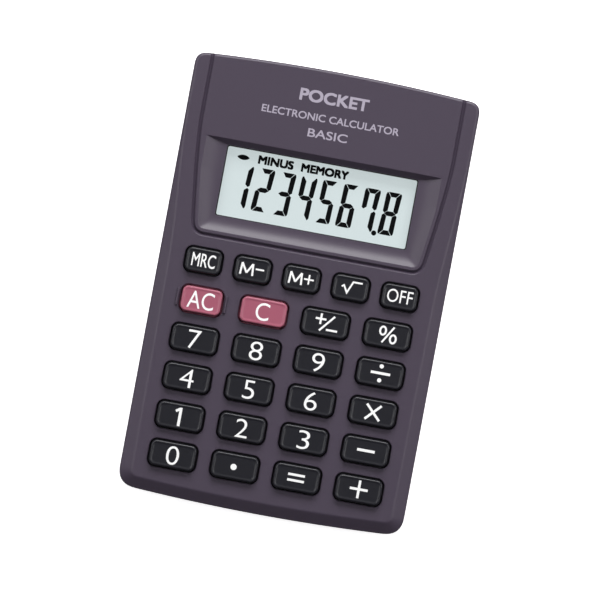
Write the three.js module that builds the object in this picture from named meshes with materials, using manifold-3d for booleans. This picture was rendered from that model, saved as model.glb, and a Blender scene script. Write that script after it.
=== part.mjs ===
// A pocket calculator: two moulded shells, 25 travelling keys on a domed rubber membrane, a circuit
// board with a liquid-crystal display, and a button cell under a screwed cover in the back.
// Millimetres, +Z up. The back lies on z = 0, the display end is at +Y, and the origin is under the centre.

import * as THREE from 'three';
import { mergeVertices } from 'three/addons/utils/BufferGeometryUtils.js';
import Module from 'manifold-3d';

const wasm = await Module();
wasm.setup();

// Overall sizes
const bodyWidth = 56;
const bodyLength = 87;
const partingHeight = 3.4;
const faceHeight = 7.4;
const keyHeight = 1.2; // key top above the face

// Outline of the case: two long sides, two slightly crowned ends, four rounded corners
const topEndRadius = 385;
const footEndRadius = 402;
const topCornerRadius = 2.2;
const footCornerRadius = 3.6;

// Walls
const wall = 1.3;
const floorThickness = 1.2;
const faceThickness = 1.5;
const sideDraft = 0.15;
const backEdgeRadius = 1;
const tongueThickness = 0.55;
const tongueHeight = 0.6;
const tongueClearance = 0.15;

// Bevel along the front edge: narrow beside the upper panel, wide beside the keys and at the foot
const bevelAtTop = 0.4;
const bevelAtMiddle = 2.1;
const bevelAtFoot = 2.5;
const footBevel = 2.3;
const bevelRun = 32; // from the middle of the case to where the bevel is narrowest
const bevelSlope = 0.5;
const faceCornerTop = 1.9;
const faceCornerFoot = 1.2;

// Groove that frames the upper panel
const windowToGroove = 4.15; // from the window to the groove's lower run
const panelMargin = 3.35; // from the side to the groove, beside the upper panel
const panelTaper = 0.031; // how far the groove draws in towards its lower corners
const panelTaperPower = 1.4;
const panelTaperStart = 22; // above the groove's lower run
const panelCorner = 2.2;
const grooveWidth = 0.6;
const grooveDepth = 0.35;

// Sunken display surround and its window
const rimMargin = 1; // from the groove to the rim of the surround
const rimDrop = 1.15; // from the rim's top edge to the window
const windowMargin = 9.4; // from the side of the case
const cellToWindow = 3.3; // from the button cell to the window
const windowLength = 13.65;
const windowCorner = 0.5;
const surroundDepth = 1.4;
const lipThickness = 0.6;
const glassOverlap = 2; // how far the window and glasses reach behind the surround
const windowThickness = 0.8;
const polarizerThickness = 0.2;
const glassThickness = 0.55;
const reflectorThickness = 0.2;
const glassLedge = 2.2; // contact edge of the upper glass past the lower glass
const glueGap = 0.2;

// Keypad: one row of narrow keys above five rows of wide ones
const keyRows = [
  ['key_mrc', 'key_m_minus', 'key_m_plus', 'key_sqrt', 'key_off'],
  ['key_ac', 'key_c', 'key_sign', 'key_percent'],
  ['key_7', 'key_8', 'key_9', 'key_divide'],
  ['key_4', 'key_5', 'key_6', 'key_multiply'],
  ['key_1', 'key_2', 'key_3', 'key_minus'],
  ['key_0', 'key_point', 'key_equals', 'key_plus'],
];
const redKeys = ['key_ac', 'key_c'];
const guardedKey = 'key_ac';
const keypadMargin = 4.95; // from the side of the case to the outermost holes
const keypadFoot = 4.55; // from the foot end to the last row's own zone
const keypadDrop = 1.35; // from the groove to the first row's own zone
const wideKeyGap = 2.57;
const narrowKeyGap = 2.05;
const rowGap = 2;
const narrowRowGap = 2.3;
const guardedKeyTrim = 1.1; // the guarded key is this much narrower
const holeCorner = 1.5;
const keyClearance = 0.25;
const keyDraft = 0.12;
const keyEdge = 0.3;
const flangeReach = 0.4;
const flangeThickness = 0.8;
const guardWidth = 0.6;
const guardLength = 3.3;
const guardHeight = 0.35;

// Membrane and board
const webThickness = 0.5;
const membraneMargin = 0.9; // past the last row of domes
const domeRadius = 2.3;
const domeTopRadius = 1.5;
const domeWall = 0.5;
const domeSides = 10;
const boardThickness = 0.8;
const boardClearance = 0.4;
const restRadius = 1.1;
const restInset = 7; // from the side of the case
const fitGap = 0.3;
const chipRadius = 3.9;
const chipHeight = 0.8;
const capacitorSize = new THREE.Vector3(3.2, 1.6, 0.7);
const resistorSize = new THREE.Vector3(2, 1.2, 0.5);

// Screws: self-tapping, with round heads
const screwRadius = 0.8;
const headOverhang = 0.5;
const headHeight = 0.8;
const tipLength = 0.6;
const headClearance = 0.15;
const pilotClearance = 0.06;
const bossWall = 0.6;
const boardBossWall = 0.4;
const postWall = 0.65;
const screwSeat = 1.3; // under each case screw's head, above the back
const bossRoof = 0.4; // left above a pilot hole
const footScrewGap = new THREE.Vector2(1.4, 0.1); // from the walls to a boss
const topScrewGap = new THREE.Vector2(1.8, 0.88);
const upperBoardScrewY = 7.4;
const lowerBoardScrewFromFoot = 12.15;

// Button cell and its bay
const cellRadius = 5.8;
const cellHeight = 3.05;
const canEdge = 0.3;
const capHeight = 0.2;
const capRadius = 4.8;
const cellSideGap = 10.2; // from the side of the case to the cell
const cellEndGap = 2.8; // from the display end to the cell
const cellClearance = 0.3;
const cellHoleClearance = 0.8; // in the board
const roundSides = 32;
const stripThickness = 0.2;
const stripWidth = 4;
const bladeWidth = 3;
const coverLedge = 0.8;
const coverSideLedge = 0.35;
const coverEar = 3.8; // how far the cover reaches past the cell's opening, to its screw
const coverScrewInEar = 2.3; // from the cell's opening to the screw
const coverEdge = 0.7;
const coverClearance = 0.15;
const coverRecess = 0.12;
const coverCorner = 1.5;
const padHeight = 1;
const contactGap = 0.05; // between the spring and the cell's cap
const bladeGap = 0.25; // between the blade and the cell's can
const contactFoot = 2.2;
const contactReach = 1.5; // of the spring past the cell's centre
const contactLead = 3.4; // from the blade to the end of its foot
const ribThickness = 0.6;
const ribLength = 6;
const ribHeight = 0.9;

// Worked out from the sizes above
const halfWidth = bodyWidth / 2;
const halfLength = bodyLength / 2;
const roof = faceHeight - faceThickness;
const surroundFloor = faceHeight - surroundDepth;
const lipUnderside = surroundFloor - lipThickness;
const polarizerTop = lipUnderside - windowThickness;
const upperGlassTop = polarizerTop - polarizerThickness;
const lowerGlassTop = upperGlassTop - glassThickness;
const reflectorTop = lowerGlassTop - glassThickness;
const boardTop = reflectorTop - reflectorThickness;
const boardUnderside = boardTop - boardThickness;
const membraneTop = boardTop + webThickness;
const flangeUnderside = roof - flangeThickness;
const windowTop = cellEndGap + 2 * cellRadius + cellToWindow;
const rimTop = windowTop - rimDrop;
const panelFoot = halfLength - windowTop - windowLength - windowToGroove;
const keypadTop = panelFoot - keypadDrop;
const rowPitch = (keypadTop + halfLength - keypadFoot) / keyRows.length;
const headRadius = screwRadius + headOverhang;
const bossRadius = screwRadius + bossWall;
const boardBossRadius = screwRadius + boardBossWall;
const postRadius = headRadius + headClearance + postWall;
const boardBossX = halfWidth - wall - boardBossRadius - fitGap;
const pilotRadius = screwRadius + pilotClearance;
const cellCentre = new THREE.Vector2(
  cellSideGap + cellRadius - halfWidth,
  halfLength - cellEndGap - cellRadius,
);
const cellBase = floorThickness + cellClearance;
const windowHalfWidth = halfWidth - windowMargin;
const windowTopY = halfLength - windowTop;
const windowFootY = windowTopY - windowLength;
const footScrewX = halfWidth - wall - bossRadius - footScrewGap.x;
const topScrewX = halfWidth - wall - bossRadius - topScrewGap.x;
const footScrew = new THREE.Vector2(
  footScrewX,
  crown(footScrewX, footEndRadius) + wall + bossRadius + footScrewGap.y - halfLength,
);
const topScrew = new THREE.Vector2(
  topScrewX,
  halfLength - crown(topScrewX, topEndRadius) - wall - bossRadius - topScrewGap.y,
);
const caseScrews = [
  new THREE.Vector2(-footScrew.x, footScrew.y),
  footScrew,
  new THREE.Vector2(-topScrew.x, topScrew.y),
  topScrew,
];
const lowerBoardScrewY = lowerBoardScrewFromFoot - halfLength;
const boardScrews = [
  new THREE.Vector2(-boardBossX, lowerBoardScrewY),
  new THREE.Vector2(boardBossX, lowerBoardScrewY),
  new THREE.Vector2(-boardBossX, upperBoardScrewY),
  new THREE.Vector2(boardBossX, upperBoardScrewY),
];
const through = 1; // how far a cutter runs past the face it opens
const bite = 0.3; // how far a joined piece reaches into its neighbour

// Outlines ---------------------------------------------------------------------------------------

// How far a crowned end has fallen away at a distance from its middle: x squared over its diameter.
function crown(x, radius) {
  return x * x / (2 * radius);
}

// Where a side line x = side(y) meets an end line y = end(x).
function cornerOf(side, end) {
  let y = end(0);
  for (let pass = 0; pass < 8; pass += 1) {
    y = end(side(y));
  }
  return new THREE.Vector2(side(y), y);
}

// Points strictly between two ends of a rounded corner.
function cornerPoints(from, corner, to, steps = 4) {
  const bend = new THREE.QuadraticBezierCurve(from, corner, to);
  return bend.getPoints(steps).slice(1, -1);
}

// A closed, left-right symmetric outline, counter-clockwise from the foot end's middle.
function outlineOf({ side, topEnd, footEnd, topCorner, footCorner }) {
  const endSteps = 4;
  const sideSteps = 11;
  const foot = cornerOf(side, footEnd);
  const top = cornerOf(side, topEnd);
  const footX = foot.x - footCorner;
  const topX = top.x - topCorner;
  const half = [];
  for (let i = 0; i <= endSteps; i += 1) {
    const x = footX * i / endSteps;
    half.push(new THREE.Vector2(x, footEnd(x)));
  }
  const sideFoot = foot.y + footCorner;
  const sideTop = top.y - topCorner;
  half.push(...cornerPoints(half.at(-1), foot, new THREE.Vector2(side(sideFoot), sideFoot)));
  for (let i = 0; i <= sideSteps; i += 1) {
    const y = sideFoot + (sideTop - sideFoot) * i / sideSteps;
    half.push(new THREE.Vector2(side(y), y));
  }
  half.push(...cornerPoints(half.at(-1), top, new THREE.Vector2(topX, topEnd(topX))));
  for (let i = endSteps; i >= 0; i -= 1) {
    const x = topX * i / endSteps;
    half.push(new THREE.Vector2(x, topEnd(x)));
  }
  const mirrored = half.slice(1, -1).reverse().map((p) => new THREE.Vector2(-p.x, p.y));
  return [...half, ...mirrored];
}

// The case outline, drawn in by an inset.
function caseOutline(inset) {
  return outlineOf({
    side: () => halfWidth - inset,
    topEnd: (x) => halfLength - inset - crown(x, topEndRadius),
    footEnd: (x) => inset - halfLength + crown(x, footEndRadius),
    topCorner: Math.max(topCornerRadius - inset / 2, bite),
    footCorner: Math.max(footCornerRadius - inset / 2, bite),
  });
}

// Width of the front bevel: a smooth step beside the display, then a slow growth to the foot.
function bevelWidth(y) {
  const step = THREE.MathUtils.smoothstep(bevelRun - y, 0, bevelRun);
  const growth = Math.max(0, -y) / halfLength;
  return bevelAtTop + (bevelAtMiddle - bevelAtTop) * step + (bevelAtFoot - bevelAtMiddle) * growth;
}

// The edge of the flat face, inside the bevel.
function faceOutline() {
  return outlineOf({
    side: (y) => halfWidth - bevelWidth(y),
    topEnd: (x) => halfLength - bevelAtTop - crown(x, topEndRadius),
    footEnd: (x) => footBevel - halfLength + crown(x, footEndRadius),
    topCorner: faceCornerTop,
    footCorner: faceCornerFoot,
  });
}

// Half-width of the groove's centre line, which draws in below the display's middle.
function panelSide(y) {
  const below = Math.max(0, panelFoot + panelTaperStart - y);
  return halfWidth - panelMargin - panelTaper * below ** panelTaperPower;
}

// The right half of a line parallel to the groove, from past the display end to the middle of its foot.
function panelLine(offset) {
  const steps = 9;
  const corner = new THREE.Vector2(panelSide(panelFoot) + offset, panelFoot - offset);
  const start = halfLength + through;
  const end = corner.y + panelCorner;
  const line = [];
  for (let i = 0; i <= steps; i += 1) {
    const y = start + (end - start) * i / steps;
    line.push(new THREE.Vector2(panelSide(y) + offset, y));
  }
  const foot = new THREE.Vector2(corner.x - panelCorner, corner.y);
  line.push(...cornerPoints(line.at(-1), corner, foot), foot);
  return line;
}

// A level of the display surround, from 0 at its rim to 1 at the window.
function surroundOutline(level) {
  const steps = 4;
  const rimTopY = halfLength - rimTop;
  const rimFootY = panelFoot + rimMargin;
  const right = [];
  for (let i = 0; i <= steps; i += 1) {
    const along = i / steps;
    const rimY = THREE.MathUtils.lerp(rimFootY, rimTopY, along);
    const rim = new THREE.Vector2(panelSide(rimY) - rimMargin, rimY);
    const windowY = THREE.MathUtils.lerp(windowFootY - 0.1, windowTopY + 0.1, along);
    const inner = new THREE.Vector2(windowHalfWidth + 0.1, windowY);
    right.push(rim.lerp(inner, level));
  }
  const left = right.map((p) => new THREE.Vector2(-p.x, p.y)).reverse();
  return [...right, ...left];
}

// A rounded rectangle about a centre, counter-clockwise.
function roundedRectangle(width, length, radius, centre = new THREE.Vector2(), steps = 3) {
  const round = Math.min(radius, width / 2, length / 2);
  const points = [];
  for (let corner = 0; corner < 4; corner += 1) {
    const across = corner === 0 || corner === 3 ? 1 : -1;
    const along = corner < 2 ? 1 : -1;
    for (let i = 0; i <= steps; i += 1) {
      const angle = (corner + i / steps) * Math.PI / 2;
      points.push(new THREE.Vector2(
        centre.x + across * (width / 2 - round) + round * Math.cos(angle),
        centre.y + along * (length / 2 - round) + round * Math.sin(angle),
      ));
    }
  }
  return points;
}

// Solids -----------------------------------------------------------------------------------------

// A closed skin over rings of equally many points; a ring's height is a number or a function of its point.
function loft(rings) {
  const count = rings[0].points.length;
  const positions = [];
  for (const { points, z } of rings) {
    for (const p of points) {
      positions.push(p.x, p.y, typeof z === 'function' ? z(p) : z);
    }
  }
  const faces = [];
  for (let ring = 0; ring < rings.length - 1; ring += 1) {
    for (let i = 0; i < count; i += 1) {
      const a = ring * count + i;
      const b = ring * count + (i + 1) % count;
      faces.push(a, b, b + count, a, b + count, a + count);
    }
  }
  const top = (rings.length - 1) * count;
  for (const [a, b, c] of THREE.ShapeUtils.triangulateShape(rings[0].points, [])) {
    faces.push(c, b, a);
  }
  for (const [a, b, c] of THREE.ShapeUtils.triangulateShape(rings.at(-1).points, [])) {
    faces.push(top + a, top + b, top + c);
  }
  const skin = new THREE.BufferGeometry();
  skin.setAttribute('position', new THREE.Float32BufferAttribute(positions, 3));
  return skin.setIndex(faces);
}

// An upright prism over an outline.
function prism(points, low, high) {
  const shape = new THREE.Shape(points);
  const geometry = new THREE.ExtrudeGeometry(shape, { depth: high - low, bevelEnabled: false });
  return geometry.translate(0, 0, low);
}

function box(low, high) {
  const size = new THREE.Vector3().subVectors(high, low);
  const middle = new THREE.Vector3().addVectors(low, high).multiplyScalar(0.5);
  return new THREE.BoxGeometry(size.x, size.y, size.z).translate(middle.x, middle.y, middle.z);
}

// An upright cylinder or cone.
function post(centre, radius, low, high, topRadius = radius, sides = 16) {
  const geometry = new THREE.CylinderGeometry(topRadius, radius, high - low, sides);
  return geometry.rotateX(Math.PI / 2).translate(centre.x, centre.y, (low + high) / 2);
}

// A body turned about the Z axis from a profile of [radius, height] pairs that starts and ends on it.
function turned(profile, sides = 16) {
  const points = profile.map(([radius, height]) => new THREE.Vector2(radius, height));
  return new THREE.LatheGeometry(points, sides).rotateX(Math.PI / 2);
}

// A bent strip of sheet metal: its side view in x and z, extruded across y about a middle line.
function strip(sideView, width, middleY) {
  const shape = new THREE.Shape(sideView.map(([x, z]) => new THREE.Vector2(x, z)));
  const geometry = new THREE.ExtrudeGeometry(shape, { depth: width, bevelEnabled: false });
  return geometry.rotateX(Math.PI / 2).translate(0, middleY + width / 2, 0);
}

function solid(geometry) {
  geometry.deleteAttribute('normal');
  geometry.deleteAttribute('uv');
  const merged = mergeVertices(geometry, 1e-4);
  return new wasm.Manifold(new wasm.Mesh({
    numProp: 3,
    vertProperties: merged.attributes.position.array,
    triVerts: new Uint32Array(merged.index.array),
  }));
}

function join(first, ...others) {
  return others.reduce((whole, piece) => whole.add(solid(piece)), first);
}

function cut(first, ...cutters) {
  return cutters.reduce((whole, cutter) => whole.subtract(solid(cutter)), first);
}

function geometryOf(body) {
  const { vertProperties, triVerts } = body.getMesh();
  const geometry = new THREE.BufferGeometry();
  geometry.setAttribute('position', new THREE.BufferAttribute(vertProperties, 3));
  geometry.setIndex(new THREE.BufferAttribute(triVerts, 1));
  geometry.computeVertexNormals();
  return geometry;
}

// Keys -------------------------------------------------------------------------------------------

// Where each key stands and how large its hole is.
function keyPlaces() {
  const span = bodyWidth - 2 * keypadMargin;
  return keyRows.flatMap((names, row) => {
    const narrow = names.length > 4;
    const gap = narrow ? narrowKeyGap : wideKeyGap;
    const width = (span - gap * (names.length - 1)) / names.length;
    const length = rowPitch - (narrow ? narrowRowGap : rowGap);
    return names.map((name, column) => ({
      name,
      x: (column - (names.length - 1) / 2) * (width + gap),
      y: keypadTop - (row + 0.5) * rowPitch,
      holeWidth: name === guardedKey ? width - guardedKeyTrim : width,
      holeLength: length,
    }));
  });
}
const keys = keyPlaces();

// A key: a flange under the face, which stops it, and a drafted cap with an eased edge.
function keyBody({ holeWidth, holeLength }) {
  const ring = (grow, z) => ({
    points: roundedRectangle(holeWidth + 2 * grow, holeLength + 2 * grow, holeCorner + grow),
    z,
  });
  const top = faceHeight + keyHeight;
  return loft([
    ring(flangeReach, flangeUnderside),
    ring(flangeReach, roof),
    ring(-keyClearance, roof),
    ring(-keyClearance - keyDraft, top - keyEdge),
    ring(-keyClearance - keyDraft - keyEdge, top),
  ]);
}

// Shells -----------------------------------------------------------------------------------------

function upperCase() {
  const shoulder = (p) => faceHeight - bevelSlope * bevelWidth(p.y);
  let shell = solid(loft([
    { points: caseOutline(0), z: partingHeight },
    { points: caseOutline(sideDraft), z: shoulder },
    { points: faceOutline(), z: faceHeight },
  ]));
  shell = cut(
    shell,
    prism(caseOutline(wall), partingHeight - through, roof),
    prism(
      caseOutline(wall - tongueThickness - tongueClearance),
      partingHeight - through,
      partingHeight + tongueHeight + tongueClearance,
    ),
  );

  const frameSide = windowHalfWidth + glassOverlap + fitGap + wall;
  shell = join(
    shell,
    box(
      new THREE.Vector3(-frameSide, panelFoot + rimMargin, lipUnderside),
      new THREE.Vector3(frameSide, windowTopY + glassOverlap + fitGap, roof + bite),
    ),
    ...caseScrews.map((place) => post(place, bossRadius, partingHeight, roof + bite)),
    ...boardScrews.map((place) => post(place, boardBossRadius, boardTop, roof + bite)),
  );

  const guarded = keys.find(({ name }) => name === guardedKey);
  for (const side of [-1, 1]) {
    const x = guarded.x + side * (guarded.holeWidth + guardWidth) / 2;
    shell = join(shell, box(
      new THREE.Vector3(x - guardWidth / 2, guarded.y - guardLength / 2, faceHeight - bite),
      new THREE.Vector3(x + guardWidth / 2, guarded.y + guardLength / 2, faceHeight + guardHeight),
    ));
  }

  const outer = panelLine(grooveWidth / 2);
  const inner = panelLine(-grooveWidth / 2);
  const mirror = (line) => line.map((p) => new THREE.Vector2(-p.x, p.y));
  const groove = [...mirror(outer), ...outer.slice().reverse(), ...inner, ...mirror(inner).reverse()];
  shell = cut(
    shell,
    prism(groove, faceHeight - grooveDepth, faceHeight + through),
    loft([
      { points: surroundOutline(1), z: surroundFloor },
      { points: surroundOutline(0.5), z: surroundFloor + surroundDepth * 0.3 },
      { points: surroundOutline(0), z: faceHeight },
      { points: surroundOutline(0), z: faceHeight + through },
    ]),
    prism(
      roundedRectangle(
        2 * windowHalfWidth,
        windowLength,
        windowCorner,
        new THREE.Vector2(0, windowTopY - windowLength / 2),
      ),
      lipUnderside - through,
      surroundFloor + bite,
    ),
    ...keys.map(({ x, y, holeWidth, holeLength }) => prism(
      roundedRectangle(holeWidth, holeLength, holeCorner, new THREE.Vector2(x, y)),
      roof - through,
      faceHeight + through,
    )),
    ...caseScrews.map((place) => post(place, pilotRadius, partingHeight - through, roof - bossRoof)),
    ...boardScrews.map((place) => post(place, pilotRadius, boardTop - through, roof - bossRoof)),
  );
  return geometryOf(shell);
}

// The battery cover's seat: a shallow recess for its edge and a deeper one for its body and screw ear.
function coverOutline(grow, growAcross) {
  const left = cellCentre.x - cellRadius - cellClearance;
  const right = cellCentre.x + cellRadius + cellClearance + coverEar;
  const width = right - left + 2 * grow;
  const length = 2 * (cellRadius + cellClearance + growAcross);
  return roundedRectangle(width, length, coverCorner, new THREE.Vector2((left + right) / 2, cellCentre.y));
}
const coverScrew = new THREE.Vector2(
  cellCentre.x + cellRadius + cellClearance + coverScrewInEar,
  cellCentre.y,
);

function lowerCase() {
  const edge = (turn) => ({
    points: caseOutline(backEdgeRadius * (1 - Math.sin(turn))),
    z: backEdgeRadius * (1 - Math.cos(turn)),
  });
  let shell = solid(loft([
    edge(0),
    edge(Math.PI / 4),
    edge(Math.PI / 2),
    { points: caseOutline(0), z: partingHeight },
  ]));
  shell = cut(shell, prism(caseOutline(wall), floorThickness, partingHeight + through));
  const tongue = cut(
    solid(prism(
      caseOutline(wall - tongueThickness),
      partingHeight - bite,
      partingHeight + tongueHeight,
    )),
    prism(caseOutline(wall), partingHeight - through, partingHeight + through),
  );
  shell = shell.add(tongue);

  const rests = [
    new THREE.Vector2(restInset - halfWidth, keypadTop - 3 * rowPitch),
    new THREE.Vector2(halfWidth - restInset, keypadTop - 3 * rowPitch),
    new THREE.Vector2(0, keypadTop - 5 * rowPitch),
    new THREE.Vector2(0, windowTopY - windowLength / 2),
  ];
  const bay = cellRadius + cellClearance + coverClearance;
  const ribFoot = floorThickness - bite;
  const ribTop = floorThickness + ribHeight;
  shell = join(
    shell,
    ...caseScrews.map((place) => post(place, postRadius, floorThickness - bite, partingHeight)),
    ...rests.map((place) => post(place, restRadius, floorThickness - bite, boardUnderside)),
    box(
      new THREE.Vector3(cellCentre.x - bay - coverLedge, cellCentre.y - ribLength / 2, ribFoot),
      new THREE.Vector3(cellCentre.x - bay - coverLedge + ribThickness, cellCentre.y + ribLength / 2, ribTop),
    ),
    ...[-1, 1].map((side) => {
      const y = cellCentre.y + side * (bay + coverSideLedge);
      return box(
        new THREE.Vector3(cellCentre.x - ribLength / 2, y - ribThickness / 2, ribFoot),
        new THREE.Vector3(cellCentre.x + ribLength / 2, y + ribThickness / 2, ribTop),
      );
    }),
    box(
      new THREE.Vector3(coverScrew.x - postRadius, cellCentre.y - bay - coverLedge, ribFoot),
      new THREE.Vector3(
        coverScrew.x + postRadius + bite,
        cellCentre.y + bay + coverSideLedge,
        floorThickness + padHeight,
      ),
    ),
  );
  shell = cut(
    shell,
    prism(coverOutline(coverLedge, coverSideLedge), -through, coverEdge),
    prism(coverOutline(0, 0), -through, floorThickness),
    post(coverScrew, pilotRadius, 0, floorThickness + padHeight + through),
    ...caseScrews.map((place) => post(place, headRadius + headClearance, -through, screwSeat)),
    ...caseScrews.map((place) => post(place, screwRadius + headClearance, 0, partingHeight + through)),
  );
  return geometryOf(shell);
}

function batteryCover() {
  const plate = solid(prism(
    coverOutline(coverLedge - coverClearance, coverSideLedge - coverClearance),
    coverRecess,
    coverEdge,
  ));
  const body = join(plate, prism(
    coverOutline(-coverClearance, -coverClearance),
    coverEdge - bite,
    floorThickness,
  ));
  return geometryOf(cut(
    body,
    post(coverScrew, headRadius + headClearance, -through, headHeight),
    post(coverScrew, screwRadius + headClearance, 0, floorThickness + through),
  ));
}

// Display, board and membrane --------------------------------------------------------------------

// A flat plate of the display stack, by how far it reaches past the window and where it lies.
function displayPlate(reach, footReach, low, high) {
  return box(
    new THREE.Vector3(-windowHalfWidth - reach, windowFootY - footReach, low),
    new THREE.Vector3(windowHalfWidth + reach, windowTopY + reach, high),
  );
}

const glassFootReach = glassOverlap + glueGap * 4;
const lowerGlassFootReach = glassFootReach - glassLedge;

function membrane() {
  const side = boardBossX - boardBossRadius - fitGap;
  const lastRow = keypadTop - (keyRows.length - 0.5) * rowPitch;
  let sheet = solid(box(
    new THREE.Vector3(-side, lastRow - domeRadius - membraneMargin, boardTop),
    new THREE.Vector3(side, keypadTop - fitGap, membraneTop),
  ));
  sheet = join(sheet, ...keys.map((place) => post(
    place,
    domeRadius,
    membraneTop - bite,
    flangeUnderside,
    domeTopRadius,
    domeSides,
  )));
  return geometryOf(cut(
    sheet,
    ...keys.map((place) => post(
      place,
      domeRadius,
      boardTop - through,
      flangeUnderside - domeWall,
      domeTopRadius - domeWall,
      domeSides,
    )),
    ...caseScrews.map((place) => post(
      place,
      postRadius + fitGap,
      boardTop - through,
      membraneTop + through,
    )),
  ));
}

function circuitBoard() {
  const side = halfWidth - wall - boardClearance;
  const top = halfLength - wall - 3 * boardClearance;
  const foot = wall + 4 * boardClearance - halfLength;
  const notchX = footScrew.x - postRadius - fitGap;
  const notchY = footScrew.y + postRadius + fitGap;
  const topNotchX = topScrew.x - postRadius - fitGap;
  const topNotchY = topScrew.y - postRadius - fitGap;
  const cellHole = cellRadius + cellHoleClearance;
  const half = [
    [notchX, foot],
    [notchX, notchY],
    [side, notchY],
    [side, topNotchY],
    [topNotchX, topNotchY],
    [topNotchX, top],
  ].map(([x, y]) => new THREE.Vector2(x, y));
  const mirrored = half.map((p) => new THREE.Vector2(-p.x, p.y)).reverse();
  return geometryOf(cut(
    solid(prism([...half, ...mirrored], boardUnderside, boardTop)),
    post(cellCentre, cellHole, boardUnderside - through, boardTop + through, cellHole, roundSides),
    ...boardScrews.map((place) => post(
      place,
      screwRadius + headClearance,
      boardUnderside - through,
      boardTop + through,
    )),
  ));
}

// Fasteners and electrics ------------------------------------------------------------------------

// A screw driven upwards: its head's underside is the seat at z = 0 and its head hangs below.
function screw(length, height = headHeight) {
  return turned([
    [0, -height],
    [headRadius * 0.8, -height],
    [headRadius, -height * 0.5],
    [headRadius, 0],
    [screwRadius, 0],
    [screwRadius, length - tipLength],
    [0, length],
  ], 12);
}

function buttonCell() {
  return turned([
    [0, 0],
    [cellRadius - canEdge, 0],
    [cellRadius, canEdge],
    [cellRadius, cellHeight - canEdge - capHeight],
    [cellRadius - canEdge, cellHeight - capHeight],
    [capRadius, cellHeight - capHeight],
    [capRadius, cellHeight],
    [0, cellHeight],
  ], roundSides);
}

// Spring over the cell's small cap: a foot on the board, a riser and an arm.
function negativeContact() {
  const cellTop = cellBase + cellHeight;
  const low = cellTop + contactGap;
  const riser = cellCentre.x + cellRadius + cellHoleClearance + boardClearance;
  const footEnd = riser + contactFoot;
  return strip([
    [cellCentre.x - contactReach, low],
    [riser, low],
    [riser, boardTop],
    [footEnd, boardTop],
    [footEnd, boardTop + stripThickness],
    [riser + stripThickness, boardTop + stripThickness],
    [riser + stripThickness, low + stripThickness],
    [cellCentre.x - contactReach, low + stripThickness],
  ], stripWidth, cellCentre.y);
}

// Blade beside the cell's can, standing in the gap between the can and the board.
function positiveContact() {
  const blade = cellCentre.x - cellRadius - bladeGap;
  const footEnd = blade - contactLead;
  return strip([
    [footEnd, boardTop],
    [blade - stripThickness, boardTop],
    [blade - stripThickness, cellBase + stripThickness],
    [blade, cellBase + stripThickness],
    [blade, boardTop + stripThickness],
    [footEnd, boardTop + stripThickness],
  ], bladeWidth, cellCentre.y);
}

function chipBlob() {
  return turned([
    [0, -chipHeight],
    [chipRadius * 0.45, -chipHeight * 0.9],
    [chipRadius * 0.8, -chipHeight * 0.5],
    [chipRadius, 0],
    [0, 0],
  ]);
}

// Assembly ---------------------------------------------------------------------------------------

const casePlastic = { color: 0x4f4654, roughness: 0.5, metalness: 0 };
const keyPlastic = { color: 0x24262a, roughness: 0.4, metalness: 0 };
const redPlastic = { color: 0xac6175, roughness: 0.4, metalness: 0 };
const clearPlastic = { color: 0xe8f0f0, roughness: 0.05, metalness: 0, transparent: true, opacity: 0.3 };
const displayGlass = { color: 0xd7e2e4, roughness: 0.2, metalness: 0 };
const rubber = { color: 0x8c8c8a, roughness: 0.8, metalness: 0 };
const boardLaminate = { color: 0x2f6b3c, roughness: 0.5, metalness: 0 };
const resin = { color: 0x101010, roughness: 0.4, metalness: 0 };
const ceramic = { color: 0xb08a5a, roughness: 0.6, metalness: 0 };
const steel = { color: 0xb9bbbd, roughness: 0.3, metalness: 1 };

const group = new THREE.Group();

function place(name, geometry, finish, x = 0, y = 0, z = 0) {
  const mesh = new THREE.Mesh(geometry, new THREE.MeshStandardMaterial(finish));
  mesh.name = name;
  mesh.position.set(x, y, z);
  group.add(mesh);
}

place('upper_case', upperCase(), casePlastic);
place('lower_case', lowerCase(), casePlastic);
for (const key of keys) {
  place(key.name, keyBody(key), redKeys.includes(key.name) ? redPlastic : keyPlastic, key.x, key.y);
}
place(
  'display_window',
  displayPlate(glassOverlap, glassOverlap - glueGap, polarizerTop, lipUnderside),
  clearPlastic,
);
place(
  'lcd_front_polarizer',
  displayPlate(glassOverlap - glueGap, glassOverlap - 2 * glueGap, upperGlassTop, polarizerTop),
  displayGlass,
);
place(
  'lcd_upper_glass',
  displayPlate(glassOverlap - glueGap / 2, glassFootReach, lowerGlassTop, upperGlassTop),
  displayGlass,
);
place(
  'lcd_lower_glass',
  displayPlate(glassOverlap - glueGap / 2, lowerGlassFootReach, reflectorTop, lowerGlassTop),
  displayGlass,
);
place(
  'lcd_rear_reflector',
  displayPlate(glassOverlap - glueGap, lowerGlassFootReach - glueGap, boardTop, reflectorTop),
  displayGlass,
);
place(
  'zebra_connector',
  box(
    new THREE.Vector3(-windowHalfWidth, windowFootY - glassFootReach + glueGap, boardTop),
    new THREE.Vector3(windowHalfWidth, windowFootY - lowerGlassFootReach - glueGap, lowerGlassTop),
  ),
  rubber,
);
place('keypad_membrane', membrane(), rubber);
place('circuit_board', circuitBoard(), boardLaminate);
place('chip_blob', chipBlob(), resin, 0, keypadTop - 2 * rowPitch, boardUnderside);
for (const [name, size, finish, y] of [
  ['capacitor', capacitorSize, ceramic, windowFootY],
  ['resistor', resistorSize, resin, windowFootY + 2 * capacitorSize.y],
]) {
  const chip = new THREE.BoxGeometry(size.x, size.y, size.z);
  place(name, chip, finish, windowHalfWidth / 2, y, boardUnderside - size.z / 2);
}
place('battery', buttonCell(), steel, cellCentre.x, cellCentre.y, cellBase);
place('contact_negative', negativeContact(), steel);
place('contact_positive', positiveContact(), steel);
place('battery_cover', batteryCover(), casePlastic);
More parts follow.
